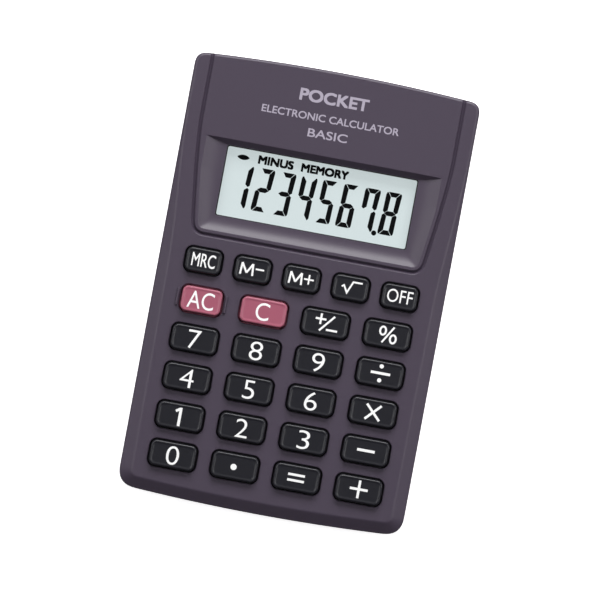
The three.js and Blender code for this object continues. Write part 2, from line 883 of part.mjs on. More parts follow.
place(
  'battery_cover_screw',
  screw(floorThickness + padHeight - headHeight, headHeight - 2 * coverRecess),
  steel,
  coverScrew.x,
  coverScrew.y,
  headHeight,
);
caseScrews.forEach(({ x, y }, i) => {
  place(`case_screw_${i + 1}`, screw(roof - bossRoof - fitGap - screwSeat), steel, x, y, screwSeat);
});
boardScrews.forEach(({ x, y }, i) => {
  const length = roof - bossRoof - fitGap - boardUnderside;
  place(`board_screw_${i + 1}`, screw(length), steel, x, y, boardUnderside);
});

export default group;
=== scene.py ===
"""A pocket calculator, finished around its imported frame: moulded shells, keys with printed legends, a
seven-segment display behind a clear window, plated screws, and a plain studio. Lengths are in metres."""

import math

import bpy
import numpy as np
from bpy.props import FloatProperty, FloatVectorProperty, PointerProperty, StringProperty
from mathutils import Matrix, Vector
from mathutils.geometry import delaunay_2d_cdt


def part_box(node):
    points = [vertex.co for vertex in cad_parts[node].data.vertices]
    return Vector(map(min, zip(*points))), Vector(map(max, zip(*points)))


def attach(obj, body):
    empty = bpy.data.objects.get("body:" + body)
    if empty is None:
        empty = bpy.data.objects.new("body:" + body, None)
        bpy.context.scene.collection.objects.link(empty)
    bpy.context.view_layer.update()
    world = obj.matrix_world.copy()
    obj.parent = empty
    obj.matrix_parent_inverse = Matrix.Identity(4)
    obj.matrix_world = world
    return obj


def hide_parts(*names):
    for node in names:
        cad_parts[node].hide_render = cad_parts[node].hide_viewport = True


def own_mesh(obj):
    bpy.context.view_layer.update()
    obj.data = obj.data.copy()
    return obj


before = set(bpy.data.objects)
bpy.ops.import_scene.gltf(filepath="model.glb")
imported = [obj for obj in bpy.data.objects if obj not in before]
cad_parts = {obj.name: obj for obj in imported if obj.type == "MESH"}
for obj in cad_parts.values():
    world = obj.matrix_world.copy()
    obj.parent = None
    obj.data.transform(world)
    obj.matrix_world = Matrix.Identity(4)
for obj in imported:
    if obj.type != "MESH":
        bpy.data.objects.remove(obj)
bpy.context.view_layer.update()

bl_info = {
    "name": "Pocket Calculator",
    "version": (1, 0),
    "blender": (4, 5),
    "location": "View3D > Sidebar > Calculator",
    "description": "Builds a pocket calculator's visible pieces, finishes and studio around its frame",
    "category": "Object",
}

MM = 0.001

# The case. Its plan comes from the frame.
CASE_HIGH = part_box("upper_case")[1]
HALF_WIDTH = CASE_HIGH.x
HALF_LENGTH = CASE_HIGH.y
TOP_END_RADIUS = 385 * MM
FOOT_END_RADIUS = 402 * MM
TOP_CORNER = 2.2 * MM
FOOT_CORNER = 3.6 * MM
TOP_ZONE = HALF_LENGTH - 3 * MM  # past here a point belongs to the display end
FACE_TOP_CORNER = 1.9 * MM
FACE_FOOT_CORNER = 1.3 * MM
FOOT_TURN_START, FOOT_TURN = 4 * MM, 3 * MM  # where the bevel takes on the foot end's slope, and how soon
BEVEL_RUN = 32 * MM  # from the middle of the case to where the bevel is narrowest
SHOULDER_DRAFT = 0.03 * MM
LEAST_DROP = 0.3 * MM  # the bevel falls by a little more than this even where it is narrowest
CREST = 0.3 * MM  # length of the rounding between bevel and face
BACK_EDGE = 1.0 * MM
WALL = 1.3 * MM
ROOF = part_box("key_7")[0].z + 0.8 * MM  # underside of the face, on top of the keys' flanges
FLOOR = 1.2 * MM
LOWER_WALL = 0.7 * WALL

# The groove round the upper panel, whose sides start to draw in at PANEL_BEND, and the sunken surround
# inside it.
PANEL_FOOT = 8.0 * MM
PANEL_SIDE = HALF_WIDTH - 3.25 * MM
PANEL_CORNER = 2.2 * MM
PANEL_BEND = PANEL_FOOT + 22 * MM
PANEL_TAPER, PANEL_TAPER_POWER = 0.031 * MM, 1.4
GROOVE_STEPS = np.linspace(-1, 1, 13)  # across the groove, as shares of its half-width
RIM_MARGIN = 1.05 * MM
RIM_TOP = 26.95 * MM
RIM_SIDE_LIMIT = 23.0 * MM
RIM_TOP_CORNER = 0.25 * MM
RIM_FOOT_CORNER = 1.1 * MM
RIM_EASE = 0.16 * MM
WINDOW_HALF = 18.78 * MM
WINDOW_FOOT = 12.02 * MM
WINDOW_TOP = 25.86 * MM
WINDOW_CORNER = 0.5 * MM
WINDOW_STATIONS = np.linspace(0, WINDOW_HALF - 1 * MM, 50)
WINDOW_LIP = 0.1 * MM
LIP_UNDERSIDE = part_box("display_window")[1].z
WINDOW_FRAME = 3.6 * MM  # reach of the window's frame past the opening
END_WALL_POWER, SIDE_WALL_POWER = 1.1, 2.1
WALL_REACH = 0.985  # share of the way from rim to window over which the walls fall

# A low ridge on each side of one key.
GUARDED_KEY = "key_ac"
GUARD_SIZE = (0.5 * MM, 3.5 * MM)
GUARD_HEIGHT = 0.45 * MM
GUARD_EDGE = 0.18 * MM
GUARD_CORNER = 0.24 * MM
GUARD_GAP = 0.27 * MM  # from the hole's lip to the ridge's middle line

# The battery cover, its seat and the screws in the back.
CASE_SCREWS = [f"case_screw_{k}" for k in range(1, 5)]
COVER_SCREW = "battery_cover_screw"
COVER_CORNER = 1.5 * MM
COVER_EDGE = 0.16 * MM
COVER_STEP_EDGE = 0.1 * MM
COVER_GAP = 0.15 * MM
COVER_LEDGE = (0.8 * MM, 0.35 * MM)
COVER_LEDGE_HEIGHT = 0.7 * MM
SCREW_SEAT = 1.3 * MM
SCREW_HOLE = 0.95 * MM
WELL_RADIUS = 1.45 * MM
POST_RADIUS = 1.55 * MM
HEAD_RADIUS = 1.3 * MM
HEAD_FLAT = 0.95 * MM
SHANK_RADIUS = 0.8 * MM
RECESS_ARM, RECESS_REACH, RECESS_DEPTH = 0.2 * MM, 0.72 * MM, 0.38 * MM
COVER_HEAD, CASE_HEAD = 0.56 * MM, 0.8 * MM  # heights of the screws' heads
FINGER_RIDGE = (0.42 * MM, 6.0 * MM)
FINGER_CORNER, FINGER_EDGE, FINGER_HEIGHT = 0.2 * MM, 0.16 * MM, 0.1 * MM
FINGER_RIDGE_START, FINGER_RIDGE_PITCH = 2.2 * MM, 0.9 * MM

# Keys: what the hole leaves round the cap and what the flange reaches under it.
FLANGE_REACH = 0.4 * MM
KEY_GAP = 0.25 * MM
HOLE_CORNER = 1.5 * MM
KEYS = [name for name in sorted(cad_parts) if name.startswith("key_")]
RED_KEYS = ("key_ac", "key_c")
KEY_RELIEF = 0.02 * MM  # between a cap's flange and what lies over and under it

# The membrane: a dome under each key.
WEB = 0.5 * MM
DOME_RADIUS = 2.3 * MM
DOME_FLARE = 0.85 * MM
SHEET_TRIM = 0.1 * MM
SHEET_CORNER = 2.4 * MM

# The print on the face and in the display. Places are from the middle of the case, in millimetres.
PRINT_HEIGHT = 0.012 * MM
FACE_LINES = [
    ("POCKET", (-6.85, 36.9), (6.7, 39.3), 0.1),
    ("ELECTRONIC CALCULATOR", (-13.6, 33.4), (13.35, 34.85), 0.03),
    ("BASIC", (-4.0, 30.2), (3.75, 31.85), 0.03),
]
DISPLAY_WORDS = [("MINUS", (-12.45, 23.3), (-5.5, 25.0), 0.11), ("MEMORY", (-4.0, 23.3), (5.35, 25.0), 0.11)]
FIRST_DIGIT = (-15.95, 14.2)
DECIMAL_POINT = (12.09, 14.2)
MINUS_SIGN = (-15.35, 24.0)
FILM_GAP = 0.004 * MM  # between the film and the segments on it
SEGMENT_HEIGHT = 0.01 * MM

# The clear pane, and the black border just under it: painted shadow round the opening, standing in for the
# thin shadow of the window's walls, part of which the window's lip hides.
PANE_EDGE = 0.12 * MM
PANE_CORNER = 0.6 * MM
PANE_FOOT = 0.04 * MM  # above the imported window's underside
BORDER_FOOT, BORDER_TOP = 0.01 * MM, 0.03 * MM
BORDER_HIDDEN = 0.5 * MM

WELD = 1e-7  # points that round to the same multiple of this are one point


# Sizes and colours --------------------------------------------------------------------------------


def metres(label, text, default):
    """A length property, in metres."""
    return FloatProperty(name=label, description=text, default=default, unit="LENGTH", precision=5)


def colour(label, text, default):
    """A colour property holding an sRGB hex value, such as 4f4656."""
    return StringProperty(name=label, description=text, default=default)


def watts(label, text, default):
    """A lamp's power property, in watts."""
    return FloatProperty(name=label, description=text, default=default, unit="POWER")


class CalculatorCase(bpy.types.PropertyGroup):
    parting_height: metres("Parting height", "Where the two shells meet, above the back", 3.4 * MM)
    face_height: metres("Face height", "The flat face above the back", 7.4 * MM)
    bevel_top: metres("Bevel beside display", "Width of the front bevel at the display end", 0.4 * MM)
    bevel_middle: metres("Bevel beside keys", "Width of the front bevel beside the keys", 2.1 * MM)
    bevel_growth: metres("Bevel growth", "What the bevel gains towards the foot", 0.4 * MM)
    bevel_foot: metres("Foot bevel", "Width of the bevel across the foot end", 2.3 * MM)
    bevel_slope: FloatProperty(name="Bevel slope", description="Drop over run of the bevel", default=0.5)
    foot_slope: FloatProperty(name="Foot slope", description="Drop over run of the foot bevel", default=0.55)
    edge_radius: metres("Edge radius", "Rounding of the shoulder below the bevel", 0.35 * MM)
    parting_chamfer: metres("Parting chamfer", "Edge break along the parting line", 0.14 * MM)
    groove_depth: metres("Groove depth", "Depth of the groove round the upper panel", 0.55 * MM)
    groove_top: metres("Groove width, top", "Half-width of the groove at the display end", 0.46 * MM)
    groove_foot: metres("Groove width, foot", "Half-width of the groove below the display", 0.44 * MM)
    surround_depth: metres("Surround depth", "Drop from the face to the display window's edge", 0.9 * MM)
    hole_lip: metres("Hole lip", "Rounding of the key holes' edges", 0.2 * MM)
    plastic: colour("Case plastic", "Moulded case plastic", "4a4150")
    print_colour: colour("Face print", "Ink of the lines above the display", "aca4b4")


class CalculatorKeys(bpy.types.PropertyGroup):
    edge: metres("Key edge", "Rounding along a cap's top edge", 0.3 * MM)
    draft: metres("Key draft", "How far a cap draws in towards its top", 0.1 * MM)
    dish: metres("Key dish", "How far a cap's top lies below its rim", 0.07 * MM)
    dish_width: metres("Dish slope", "Width of the slope inside the rim", 0.4 * MM)
    print_height: metres("Print thickness", "Thickness of the printed legends", PRINT_HEIGHT)
    plastic: colour("Key plastic", "Satin black key plastic", "212127")
    red_plastic: colour("Red key plastic", "Satin red key plastic", "aa5e72")
    legend: colour("Legend", "White legend ink", "ffffff")


class CalculatorDisplay(bpy.types.PropertyGroup):
    digit_width: metres("Digit width", "Width of one digit", 3.08 * MM)
    digit_height: metres("Digit height", "Height of one digit", 8.4 * MM)
    digit_pitch: metres("Digit pitch", "From one digit to the next", 4.16 * MM)
    segment: metres("Upright segment", "Width of an upright segment", 1.0 * MM)
    level_segment: metres("Level segment", "Width of a level segment", 0.92 * MM)
    gap: metres("Segment gap", "Clear line between two segments", 0.12 * MM)
    slant: FloatProperty(name="Slant", description="Lean of the digits", default=0.0575, subtype="ANGLE")
    # The window border and its colour are painted shadow: a black band round the opening, standing in for the
    # thin shadow of the window's walls.
    border: metres("Window border", "Black print that shows around the display", 0.18 * MM)
    shadow_border_colour: colour("Border ink", "Black ink under the window", "141018")
    # The film colour feeds only the film's painted glow; the film's lit base is a fixed darker grey.
    film: colour("Display film", "Pale reflective film", "d5e1e2")
    ink: colour("Segments", "Dark segments", "0b0c0e")


class CalculatorStage(bpy.types.PropertyGroup):
    roll: FloatProperty(
        name="Camera roll",
        description="How far the camera is turned about the vertical",
        default=math.radians(10.53),
        subtype="ANGLE",
    )
    framing: metres("Framing", "Width that the camera takes in at the face", 115.95 * MM)
    lens: FloatProperty(name="Lens", description="Focal length in millimetres", default=500)
    top_light: watts("Top light", "Softbox past the display", 11.5)
    side_light: watts("Side light", "Softbox at each side", 1.5)
    fill_light: FloatProperty(name="Fill", description="Strength of the surroundings", default=0.05)
    floor: colour("Floor", "Pale paper floor", "f2f2f2")
    look_offset: FloatVectorProperty(
        name="Aim",
        description="Where the camera aims, right of and above the middle, as the camera sees it",
        size=2,
        default=(0.22 * MM, -1.22 * MM),
        subtype="TRANSLATION",
    )


# Curves and loops ---------------------------------------------------------------------------------


def smoothstep(t):
    """0 below 0, 1 above 1, and 3t^2 - 2t^3 between."""
    t = np.clip(t, 0, 1)
    return t * t * (3 - 2 * t)


def curve_point(start, corner, end, t):
    """A point of the curve (1-t)^2 start + 2t(1-t) corner + t^2 end."""
    return (1 - t) ** 2 * start + 2 * t * (1 - t) * corner + t * t * end


def bend(start, corner, end, steps):
    """Points strictly between the ends of such a curve, in rows."""
    return curve_point(start, corner, end, np.linspace(0, 1, steps + 1)[1:-1, None])


def corner_of(side, end):
    """Where x = side(y) meets y = end(x), by substituting one in the other until it settles."""
    y = end(0.0)
    for _ in range(12):
        y = end(side(y))
    return np.array([side(y), y])


def symmetric_loop(side, top_end, foot_end, top_corner, foot_corner, top_xs, side_steps=90):
    """A closed outline, counter-clockwise from the middle of its foot end: the foot end y = foot_end(x),
    a rounded corner, the side x = side(y), a rounded corner, the top end y = top_end(x) at top_xs, and
    the same mirrored."""
    foot = corner_of(side, foot_end)
    top = corner_of(side, top_end)
    foot_x = np.linspace(0, foot[0] - foot_corner, 33)
    y = np.linspace(foot[1] + foot_corner, top[1] - top_corner, side_steps)
    top_x = np.append(top_xs, top[0] - top_corner)[::-1]
    foot_run = np.column_stack([foot_x, foot_end(foot_x)])
    side_run = np.column_stack([side(y), y])
    top_run = np.column_stack([top_x, top_end(top_x)])
    half = np.vstack([
        foot_run,
        bend(foot_run[-1], foot, side_run[0], 9),
        side_run,
        bend(side_run[-1], top, top_run[0], 9),
        top_run,
    ])
    return np.vstack([half, half[1:-1][::-1] * (-1, 1)])


def crown(x, radius):
    """How far an end of that radius has fallen away at x from its middle: x squared over its diameter."""
    return x * x / (2 * radius)


def rounded_loop(centre, width, length, radius, corner_steps=8, side_steps=8):
    """A rounded rectangle, counter-clockwise from the right end of its top edge's run, with its straight
    runs divided evenly and each corner a quarter circle."""
    cx, cy = centre
    radius = min(radius, width / 2, length / 2)
    angle = np.linspace(0, np.pi / 2, corner_steps + 1)
    runs = []
    for k, (sx, sy) in enumerate([(1, 1), (-1, 1), (-1, -1), (1, -1)]):
        turn = angle + k * np.pi / 2
        arc = np.column_stack([
            cx + sx * (width / 2 - radius) + radius * np.cos(turn),
            cy + sy * (length / 2 - radius) + radius * np.sin(turn),
        ])
        runs.append(arc)
    loop = []
    for k in range(4):
        start = runs[k][-1]
        end = runs[(k + 1) % 4][0]
        t = np.linspace(0, 1, side_steps + 1)[1:-1, None]
        loop += [runs[k], start + (end - start) * t]
    return np.vstack(loop)


def circle(centre, radius, sides=48):
    """A circle, counter-clockwise from +X."""
    turn = np.linspace(0, 2 * np.pi, sides, endpoint=False)
    return np.column_stack([centre[0] + radius * np.cos(turn), centre[1] + radius * np.sin(turn)])


def turned(centre, profile, sides=48):
    """Rings about an upright axis, from their radii and heights."""
    return [at(circle(centre, radius, sides), z) for radius, z in profile]


def ridge_rings(centre, size, corner, edge, base, rise, steps=(6, 5)):
    """A low ridge: its side draws in by an edge on a quarter turn while it rises from its base. The steps
    are those of its side and of its corners."""
    rings = []
    for c, s in quarter(steps[0]):
        shrink = edge * (1 - c)
        loop = rounded_loop(centre, size[0] - 2 * shrink, size[1] - 2 * shrink, corner - shrink, steps[1], 6)
        rings.append(at(loop, base + rise * s))
    return rings


def at(loop, z):
    """A loop lifted to a height, which may differ from point to point."""
    return np.column_stack([loop, np.broadcast_to(z, len(loop))])


def quarter(steps):
    """(cos, sin) along a quarter turn, from (1, 0) to (0, 1)."""
    turn = np.linspace(0, np.pi / 2, steps + 1)
    return list(zip(np.cos(turn), np.sin(turn)))


def outline(loops):
    """Points in plan, and edges, of closed loops or rings."""
    edges = []
    start = 0
    for loop in loops:
        index = np.arange(len(loop)) + start
        edges.append(np.column_stack([index, np.roll(index, -1)]))
        start += len(loop)
    return np.vstack([np.asarray(loop)[:, :2] for loop in loops]), np.vstack(edges)


def plan_box(node):
    """A node's middle in plan, its width and length, and its lowest and highest z."""
    low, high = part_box(node)
    return ((low.x + high.x) / 2, (low.y + high.y) / 2), high.x - low.x, high.y - low.y, low.z, high.z


def encloses(points, edges, tests):
    """Whether each test point has an odd number of the edges to its right."""
    a, b = points[edges].transpose(1, 0, 2)
    x, y = tests.T[..., None]
    spans = (a[:, 1] > y) != (b[:, 1] > y)
    rise = np.where(a[:, 1] == b[:, 1], 1, b[:, 1] - a[:, 1])
    right = x < a[:, 0] + (b[:, 0] - a[:, 0]) * (y - a[:, 1]) / rise
    return (spans & right).sum(1) % 2 == 1


# Meshes -------------------------------------------------------------------------------------------


class Skin:
    """Collects rings, fills and plates, welds them where they meet, and makes a mesh of them."""

    def __init__(self):
        self.blocks = []
        self.faces = []
        self.total = 0

    def add(self, points, *faces):
        self.blocks.append(np.asarray(points, float))
        for group in faces:
            self.faces += [tuple(face) for face in (np.asarray(group) + self.total).tolist()]
        self.total += len(points)

    def rings(self, rings, closed=True):
        """Quads between neighbouring rings. Counter-clockwise rings face outwards going up, up going
        inwards, and into a hole going down."""
        rings = np.asarray(rings)
        count, around = rings.shape[:2]
        index = np.arange(count * around).reshape(count, around)
        ahead = np.roll(index, -1, axis=1)
        quads = np.stack([index[:-1], ahead[:-1], ahead[1:], index[1:]], -1)
        if not closed:
            quads = quads[:, :-1]
        self.add(rings.reshape(-1, 3), quads.reshape(-1, 4))

    def fill(self, loops, z=None, up=True):
        """The flat region inside the first loop and outside the others, in triangles. Without a height
        it lies at the first loop's own, which is then a ring."""
        if z is None:
            z = loops[0][0, 2]
        points, edges = outline(loops)
        _, _, triangles, origin, _, _ = delaunay_2d_cdt((points / MM).tolist(), edges.tolist(), [], 1, 1e-5)
        used = np.array([group[0] for group in origin])
        triangles = used[np.array(triangles)]
        triangles = triangles[encloses(points, edges, points[triangles].mean(1))]
        self.add(at(points, z), triangles if up else triangles[:, ::-1])

    def solid(self, rings):
        """Rings closed by a flat foot and a flat top."""
        self.rings(rings)
        self.fill(rings[:1], up=False)
        self.fill(rings[-1:])

    def stamp(self, shapes, low, high):
        """The union of flat shapes as a thin plate from low to high. Each shape has its points and edges,
        and covers what an odd number of its edges parts from the far right."""
        points = np.vstack([shape[0] for shape in shapes])
        starts = np.cumsum([0] + [len(shape[0]) for shape in shapes])
        edges = np.vstack([shape[1] + start for shape, start in zip(shapes, starts)])
        flat, _, triangles, _, _, _ = delaunay_2d_cdt((points / MM).tolist(), edges.tolist(), [], 1, 1e-5)
        flat = np.array(flat) * MM
        triangles = np.array(triangles)
        middles = flat[triangles].mean(1)
        kept = np.any([encloses(*shape, middles) for shape in shapes], axis=0)
        triangles = triangles[kept]
        sides = triangles[:, [0, 1, 1, 2, 2, 0]].reshape(-1, 2)
        count = len(flat)
        rim = sides[~np.isin(sides @ (count, 1), sides @ (1, count))]
        walls = np.column_stack([rim, rim[:, ::-1] + count])
        self.add(np.vstack([at(flat, low), at(flat, high)]), triangles + count, triangles[:, ::-1], walls)

    def mesh(self, name, sharp=35.0):
        """A welded mesh, smooth except across edges sharper than an angle in degrees."""
        points = np.vstack(self.blocks)
        _, first, inverse = np.unique(
            np.round(points / WELD).astype(np.int64), axis=0, return_index=True, return_inverse=True
        )
        inverse = inverse.ravel()
        faces = [inverse[list(face)] for face in self.faces]
        used, renumbered = np.unique(np.concatenate(faces), return_inverse=True)
        ends = np.cumsum([len(face) for face in faces])[:-1]
        faces = [face.tolist() for face in np.split(renumbered.ravel(), ends)]
        mesh = bpy.data.meshes.new(name)
        mesh.from_pydata(points[first[used]].tolist(), [], faces)
        mesh.validate()
        mesh.polygons.foreach_set("use_smooth", np.ones(len(mesh.polygons), bool))
        mesh.set_sharp_from_angle(angle=math.radians(sharp))
        mesh.update()
        return mesh


def piece(name, skin, material, body, replaces=None, weighted=True):
    """An object with a skin's mesh, riding on a body. Weighted normals keep its flats flat."""
    mesh = skin.mesh(name)
    obj = bpy.data.objects.new(name, mesh)
    bpy.context.scene.collection.objects.link(obj)
    mesh.materials.append(material)
    if weighted:
        modifier = obj.modifiers.new("flat faces", "WEIGHTED_NORMAL")
        modifier.keep_sharp = True
    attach(obj, body)
    if replaces:
        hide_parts(replaces)
    return obj


def lettering(text, low, high, weight=0.0, thin=0.0):
    """A line of letters stretched to a box, as shapes. A weight thickens the strokes by laying copies of
    the letters over one another, each moved by the weight towards a corner of the box. Thin, below 0,
    draws the outlines in."""
    curve = bpy.data.curves.new("letters", "FONT")
    curve.body = text
    curve.resolution_u = 6
    curve.offset = thin
    holder = bpy.data.objects.new("letters", curve)
    bpy.context.scene.collection.objects.link(holder)
    flat = bpy.data.meshes.new_from_object(holder.evaluated_get(bpy.context.evaluated_depsgraph_get()))
    bpy.data.objects.remove(holder)
    bpy.data.curves.remove(curve)
    flat.calc_loop_triangles()
    points = np.empty(len(flat.vertices) * 3)
    flat.vertices.foreach_get("co", points)
    points = points.reshape(-1, 3)[:, :2]
    triangles = np.empty(len(flat.loop_triangles) * 3, int)
    flat.loop_triangles.foreach_get("vertices", triangles)
    bpy.data.meshes.remove(flat)
    sides = triangles.reshape(-1, 3)[:, [0, 1, 1, 2, 2, 0]].reshape(-1, 2)
    count = len(points)
    sides = sides[~np.isin(sides @ (count, 1), sides @ (1, count))]
    low, high = np.asarray(low) + weight, np.asarray(high) - weight
    points = low + (points - points.min(0)) / np.ptp(points, axis=0) * (high - low)
    shifts = [(0, 0), (1, 1), (-1, 1), (-1, -1), (1, -1)] if weight else [(0, 0)]
    return [(points + np.array(shift) * weight, sides) for shift in shifts]


def bar(centre, width, height):
    """An upright rectangle about a centre."""
    return np.array([(-1, -1), (1, -1), (1, 1), (-1, 1)]) * (width / 2, height / 2) + centre


def polyline(points, width):
    """A bent stroke of even width: each side is the line offset by half the width, mitred at the bends."""
    points = np.asarray(points, float)
    along = np.diff(points, axis=0)
    along /= np.linalg.norm(along, axis=1)[:, None]
    across = along[:, ::-1] * (-1, 1)
    first, last = across[:1], across[-1:]
    middle = across[:-1] + across[1:]
    middle /= (middle * across[1:]).sum(1)[:, None]
    offset = np.vstack([first, middle, last]) * width / 2
    return np.vstack([points - offset, (points + offset)[::-1]])


def oval(centre, width, height, sides=40):
    """An ellipse, counter-clockwise from +X."""
    return circle((0, 0), 0.5, sides) * (width, height) + centre


# Finishes -----------------------------------------------------------------------------------------


def linear(text):
    """An sRGB hex value as linear red, green, blue and 1."""
    value = np.array([int(text[k:k + 2], 16) for k in (0, 2, 4)]) / 255
    value = np.where(value <= 0.04045, value / 12.92, ((value + 0.055) / 1.055) ** 2.4)
    return (*value.tolist(), 1.0)


def add_node(tree, kind, inputs=None, **settings):
    """Adds a node, sets its properties, and sets each input to a value or links it to a socket."""
    node = tree.nodes.new(kind)
    for key, value in settings.items():
        setattr(node, key, value)
    for key, value in (inputs or {}).items():
        if isinstance(value, bpy.types.NodeSocket):
            tree.links.new(value, node.inputs[key])
        else:
            node.inputs[key].default_value = value
    return node


def blank(name):
    """A material with an empty node tree, or one made before, and None in place of the tree."""
    material = bpy.data.materials.get(name)
    if material:
        return material, None
    material = bpy.data.materials.new(name)
    material.use_nodes = True
    material.node_tree.nodes.clear()
    return material, material.node_tree


def grained(name, base, roughness, grain, relief, drift, **constants):
    """A surface with a fine random grain: noise at the grain's size in metres for relief and gloss, and
    a slow noise, some 30 mm long, that lets the colour drift a little as pigment does. The constants are
    settings of the shader, by socket."""
    material, tree = blank(name)
    if tree is None:
        return material
    place = add_node(tree, "ShaderNodeTexCoord").outputs["Object"]
    fine = add_node(tree, "ShaderNodeTexNoise", {"Vector": place, "Scale": 1 / grain, "Detail": 2.0})
    slow = add_node(tree, "ShaderNodeTexNoise", {"Vector": place, "Scale": 1 / (30 * MM), "Detail": 1.0})
    shade = linear(base)
    tint = add_node(tree, "ShaderNodeMix", {
        "Factor": slow.outputs["Fac"],
        6: tuple(c * (1 - drift) for c in shade[:3]) + (1,),
        7: tuple(min(1, c * (1 + drift)) for c in shade[:3]) + (1,),
    }, data_type="RGBA")  # the colours' sockets are the seventh and eighth
    gloss = add_node(tree, "ShaderNodeMapRange", {
        "Value": fine.outputs["Fac"],
        "To Min": roughness * 0.92,
        "To Max": min(1, roughness * 1.08),
    })
    bump = add_node(tree, "ShaderNodeBump", {"Height": fine.outputs["Fac"], "Distance": relief})
    shader = add_node(tree, "ShaderNodeBsdfPrincipled", {
        "Base Color": tint.outputs[2],
        "Roughness": gloss.outputs["Result"],
        "Normal": bump.outputs["Normal"],
        **constants,
    })
    add_node(tree, "ShaderNodeOutputMaterial", {"Surface": shader.outputs["BSDF"]})
    return material


def spark_eroded_abs(scene):
    """Moulded ABS off a spark-eroded tool: an even, matt 0.15 mm grain that breaks up the gloss."""
    return grained("spark eroded ABS", scene.calculator_case.plastic, 0.4, 0.15 * MM, 0.004 * MM, 0.03)


def satin_key_abs(scene):
    """Moulded ABS off a finely stoned tool: smoother than the case, so its edges catch the light."""
    return grained("satin black ABS", scene.calculator_keys.plastic, 0.3, 0.1 * MM, 0.0012 * MM, 0.04)


def satin_red_abs(scene):
    """The same satin ABS in a dusty red."""
    return grained("satin red ABS", scene.calculator_keys.red_plastic, 0.32, 0.1 * MM, 0.0012 * MM, 0.03)


def printed_ink_and_painted_shadow(scene, name, shade):
    """Pad-printed ink, also laid as the band of painted shadow round the display window: a thin, even,
    slightly pebbled film. The little glow is painted light that lifts it above what the lamps give.
    """
    return grained(
        name, shade, 0.5, 0.08 * MM, 0.0006 * MM, 0.01,
        **{"Emission Color": linear(shade), "Emission Strength": 0.04},
    )


def polarizer_film_painted_glow(scene):
    """Polarizer laminated over a brushed reflector: pale, matt and faintly green-grey. Its lit base is a
    darker grey, and most of its brightness is a painted glow in the film colour, which evens out the shade
    that the window's walls cast on it."""
    film = scene.calculator_display.film
    return grained(
        "polarizer film with painted glow", "7f8788", 0.6, 0.05 * MM, 0.0003 * MM, 0.01,
        **{"Emission Color": linear(film), "Emission Strength": 0.78},
    )


def liquid_crystal(scene):
    """Driven liquid crystal: almost black, and as matt as the film over it."""
    return grained(
        "liquid crystal", scene.calculator_display.ink, 0.6, 0.05 * MM, 0.0003 * MM, 0.02,
        **{"Specular IOR Level": 0.05},
    )


def cast_acrylic(scene):
    """Clear cast acrylic: nearly invisible, with a hard gloss. Its body is left almost transparent and
    dark, so that it lays no veil over the display."""
    return grained(
        "clear acrylic", "0c0f0f", 0.06, 0.6 * MM, 0.00005 * MM, 0.0, **{"Alpha": 0.05, "IOR": 1.49}
    )


def soda_glass(scene):
    """Drawn soda-lime glass of a display cell."""
    return grained(
        "soda glass", "dbe9e6", 0.04, 2 * MM, 0.00005 * MM, 0.0, **{"Alpha": 0.25, "IOR": 1.52}
    )


def silicone_rubber(scene):
    """Compression-moulded silicone rubber: dull and dusty grey."""
    return grained("silicone rubber", "8f908c", 0.8, 0.2 * MM, 0.006 * MM, 0.05)


def glass_epoxy_laminate(scene):
    """Glass-epoxy board under green lacquer: the cloth's 0.5 mm threads show as faint squares."""
    material, tree = blank("glass epoxy laminate")
    if tree is None:
        return material
    place = add_node(tree, "ShaderNodeTexCoord").outputs["Object"]
    # A wave texture of scale 1 has bands pi / 10 apart.
    thread = 0.5 * MM
    waves = [
        add_node(tree, "ShaderNodeTexWave", {"Vector": place, "Scale": math.pi / 10 / thread},
                 bands_direction=axis).outputs["Fac"]
        for axis in ("X", "Y")
    ]
    cloth = add_node(tree, "ShaderNodeMath", dict(enumerate(waves)), operation="MULTIPLY")
    ramp = add_node(tree, "ShaderNodeValToRGB", {"Fac": cloth.outputs[0]})
    ramp.color_ramp.elements[0].color = linear("2b6a3a")
    ramp.color_ramp.elements[1].color = linear("3a7d48")
    bump = add_node(tree, "ShaderNodeBump", {"Height": cloth.outputs[0], "Distance": 0.005 * MM})
    shader = add_node(tree, "ShaderNodeBsdfPrincipled", {
        "Base Color": ramp.outputs["Color"],
        "Roughness": 0.35,
        "Normal": bump.outputs["Normal"],
    })
    add_node(tree, "ShaderNodeOutputMaterial", {"Surface": shader.outputs["BSDF"]})
    return material


def epoxy_resin(scene):
    """Black potting resin, dispensed wet: glossy with slow waves."""
    return grained("epoxy resin", "141414", 0.25, 1.2 * MM, 0.02 * MM, 0.05)


def fired_ceramic(scene):
    """Fired ceramic body of a small capacitor: matt tan."""
    return grained("fired ceramic", "b28c5c", 0.65, 0.1 * MM, 0.003 * MM, 0.06)


def nickel_plate(scene):
    """Bright nickel over steel: a soft metal gloss with fine rolling marks."""
    return grained("nickel plate", "c9c6c0", 0.24, 0.25 * MM, 0.001 * MM, 0.03, Metallic=1.0)


def black_zinc(scene):
    """Small steel screws with a black zinc finish: dark metal, slightly mottled."""
    return grained("black zinc", "4c4b4e", 0.34, 0.2 * MM, 0.003 * MM, 0.08, Metallic=1.0)


# Case shells --------------------------------------------------------------------------------------


def bevel_width(y, case):
    """Width of the front bevel along the side: a smooth step beside the display, then a slow growth."""
    step = smoothstep((BEVEL_RUN - y) / BEVEL_RUN)
    growth = np.maximum(0, -y) / HALF_LENGTH
    return case.bevel_top + (case.bevel_middle - case.bevel_top) * step + case.bevel_growth * growth


def panel_side(y):
    """Half-width of the groove's middle line: straight beside the upper panel, then drawing in as a power
    of the distance below its bend, in millimetres."""
    below = np.maximum(0, (PANEL_BEND - y) / MM)
    return PANEL_SIDE - PANEL_TAPER * below**PANEL_TAPER_POWER


def groove_shape(share):
    """Depth of the groove as a share of its full depth: a squared cosine across its width."""
    return np.cos(np.clip(share, -1, 1) * np.pi / 2) ** 2


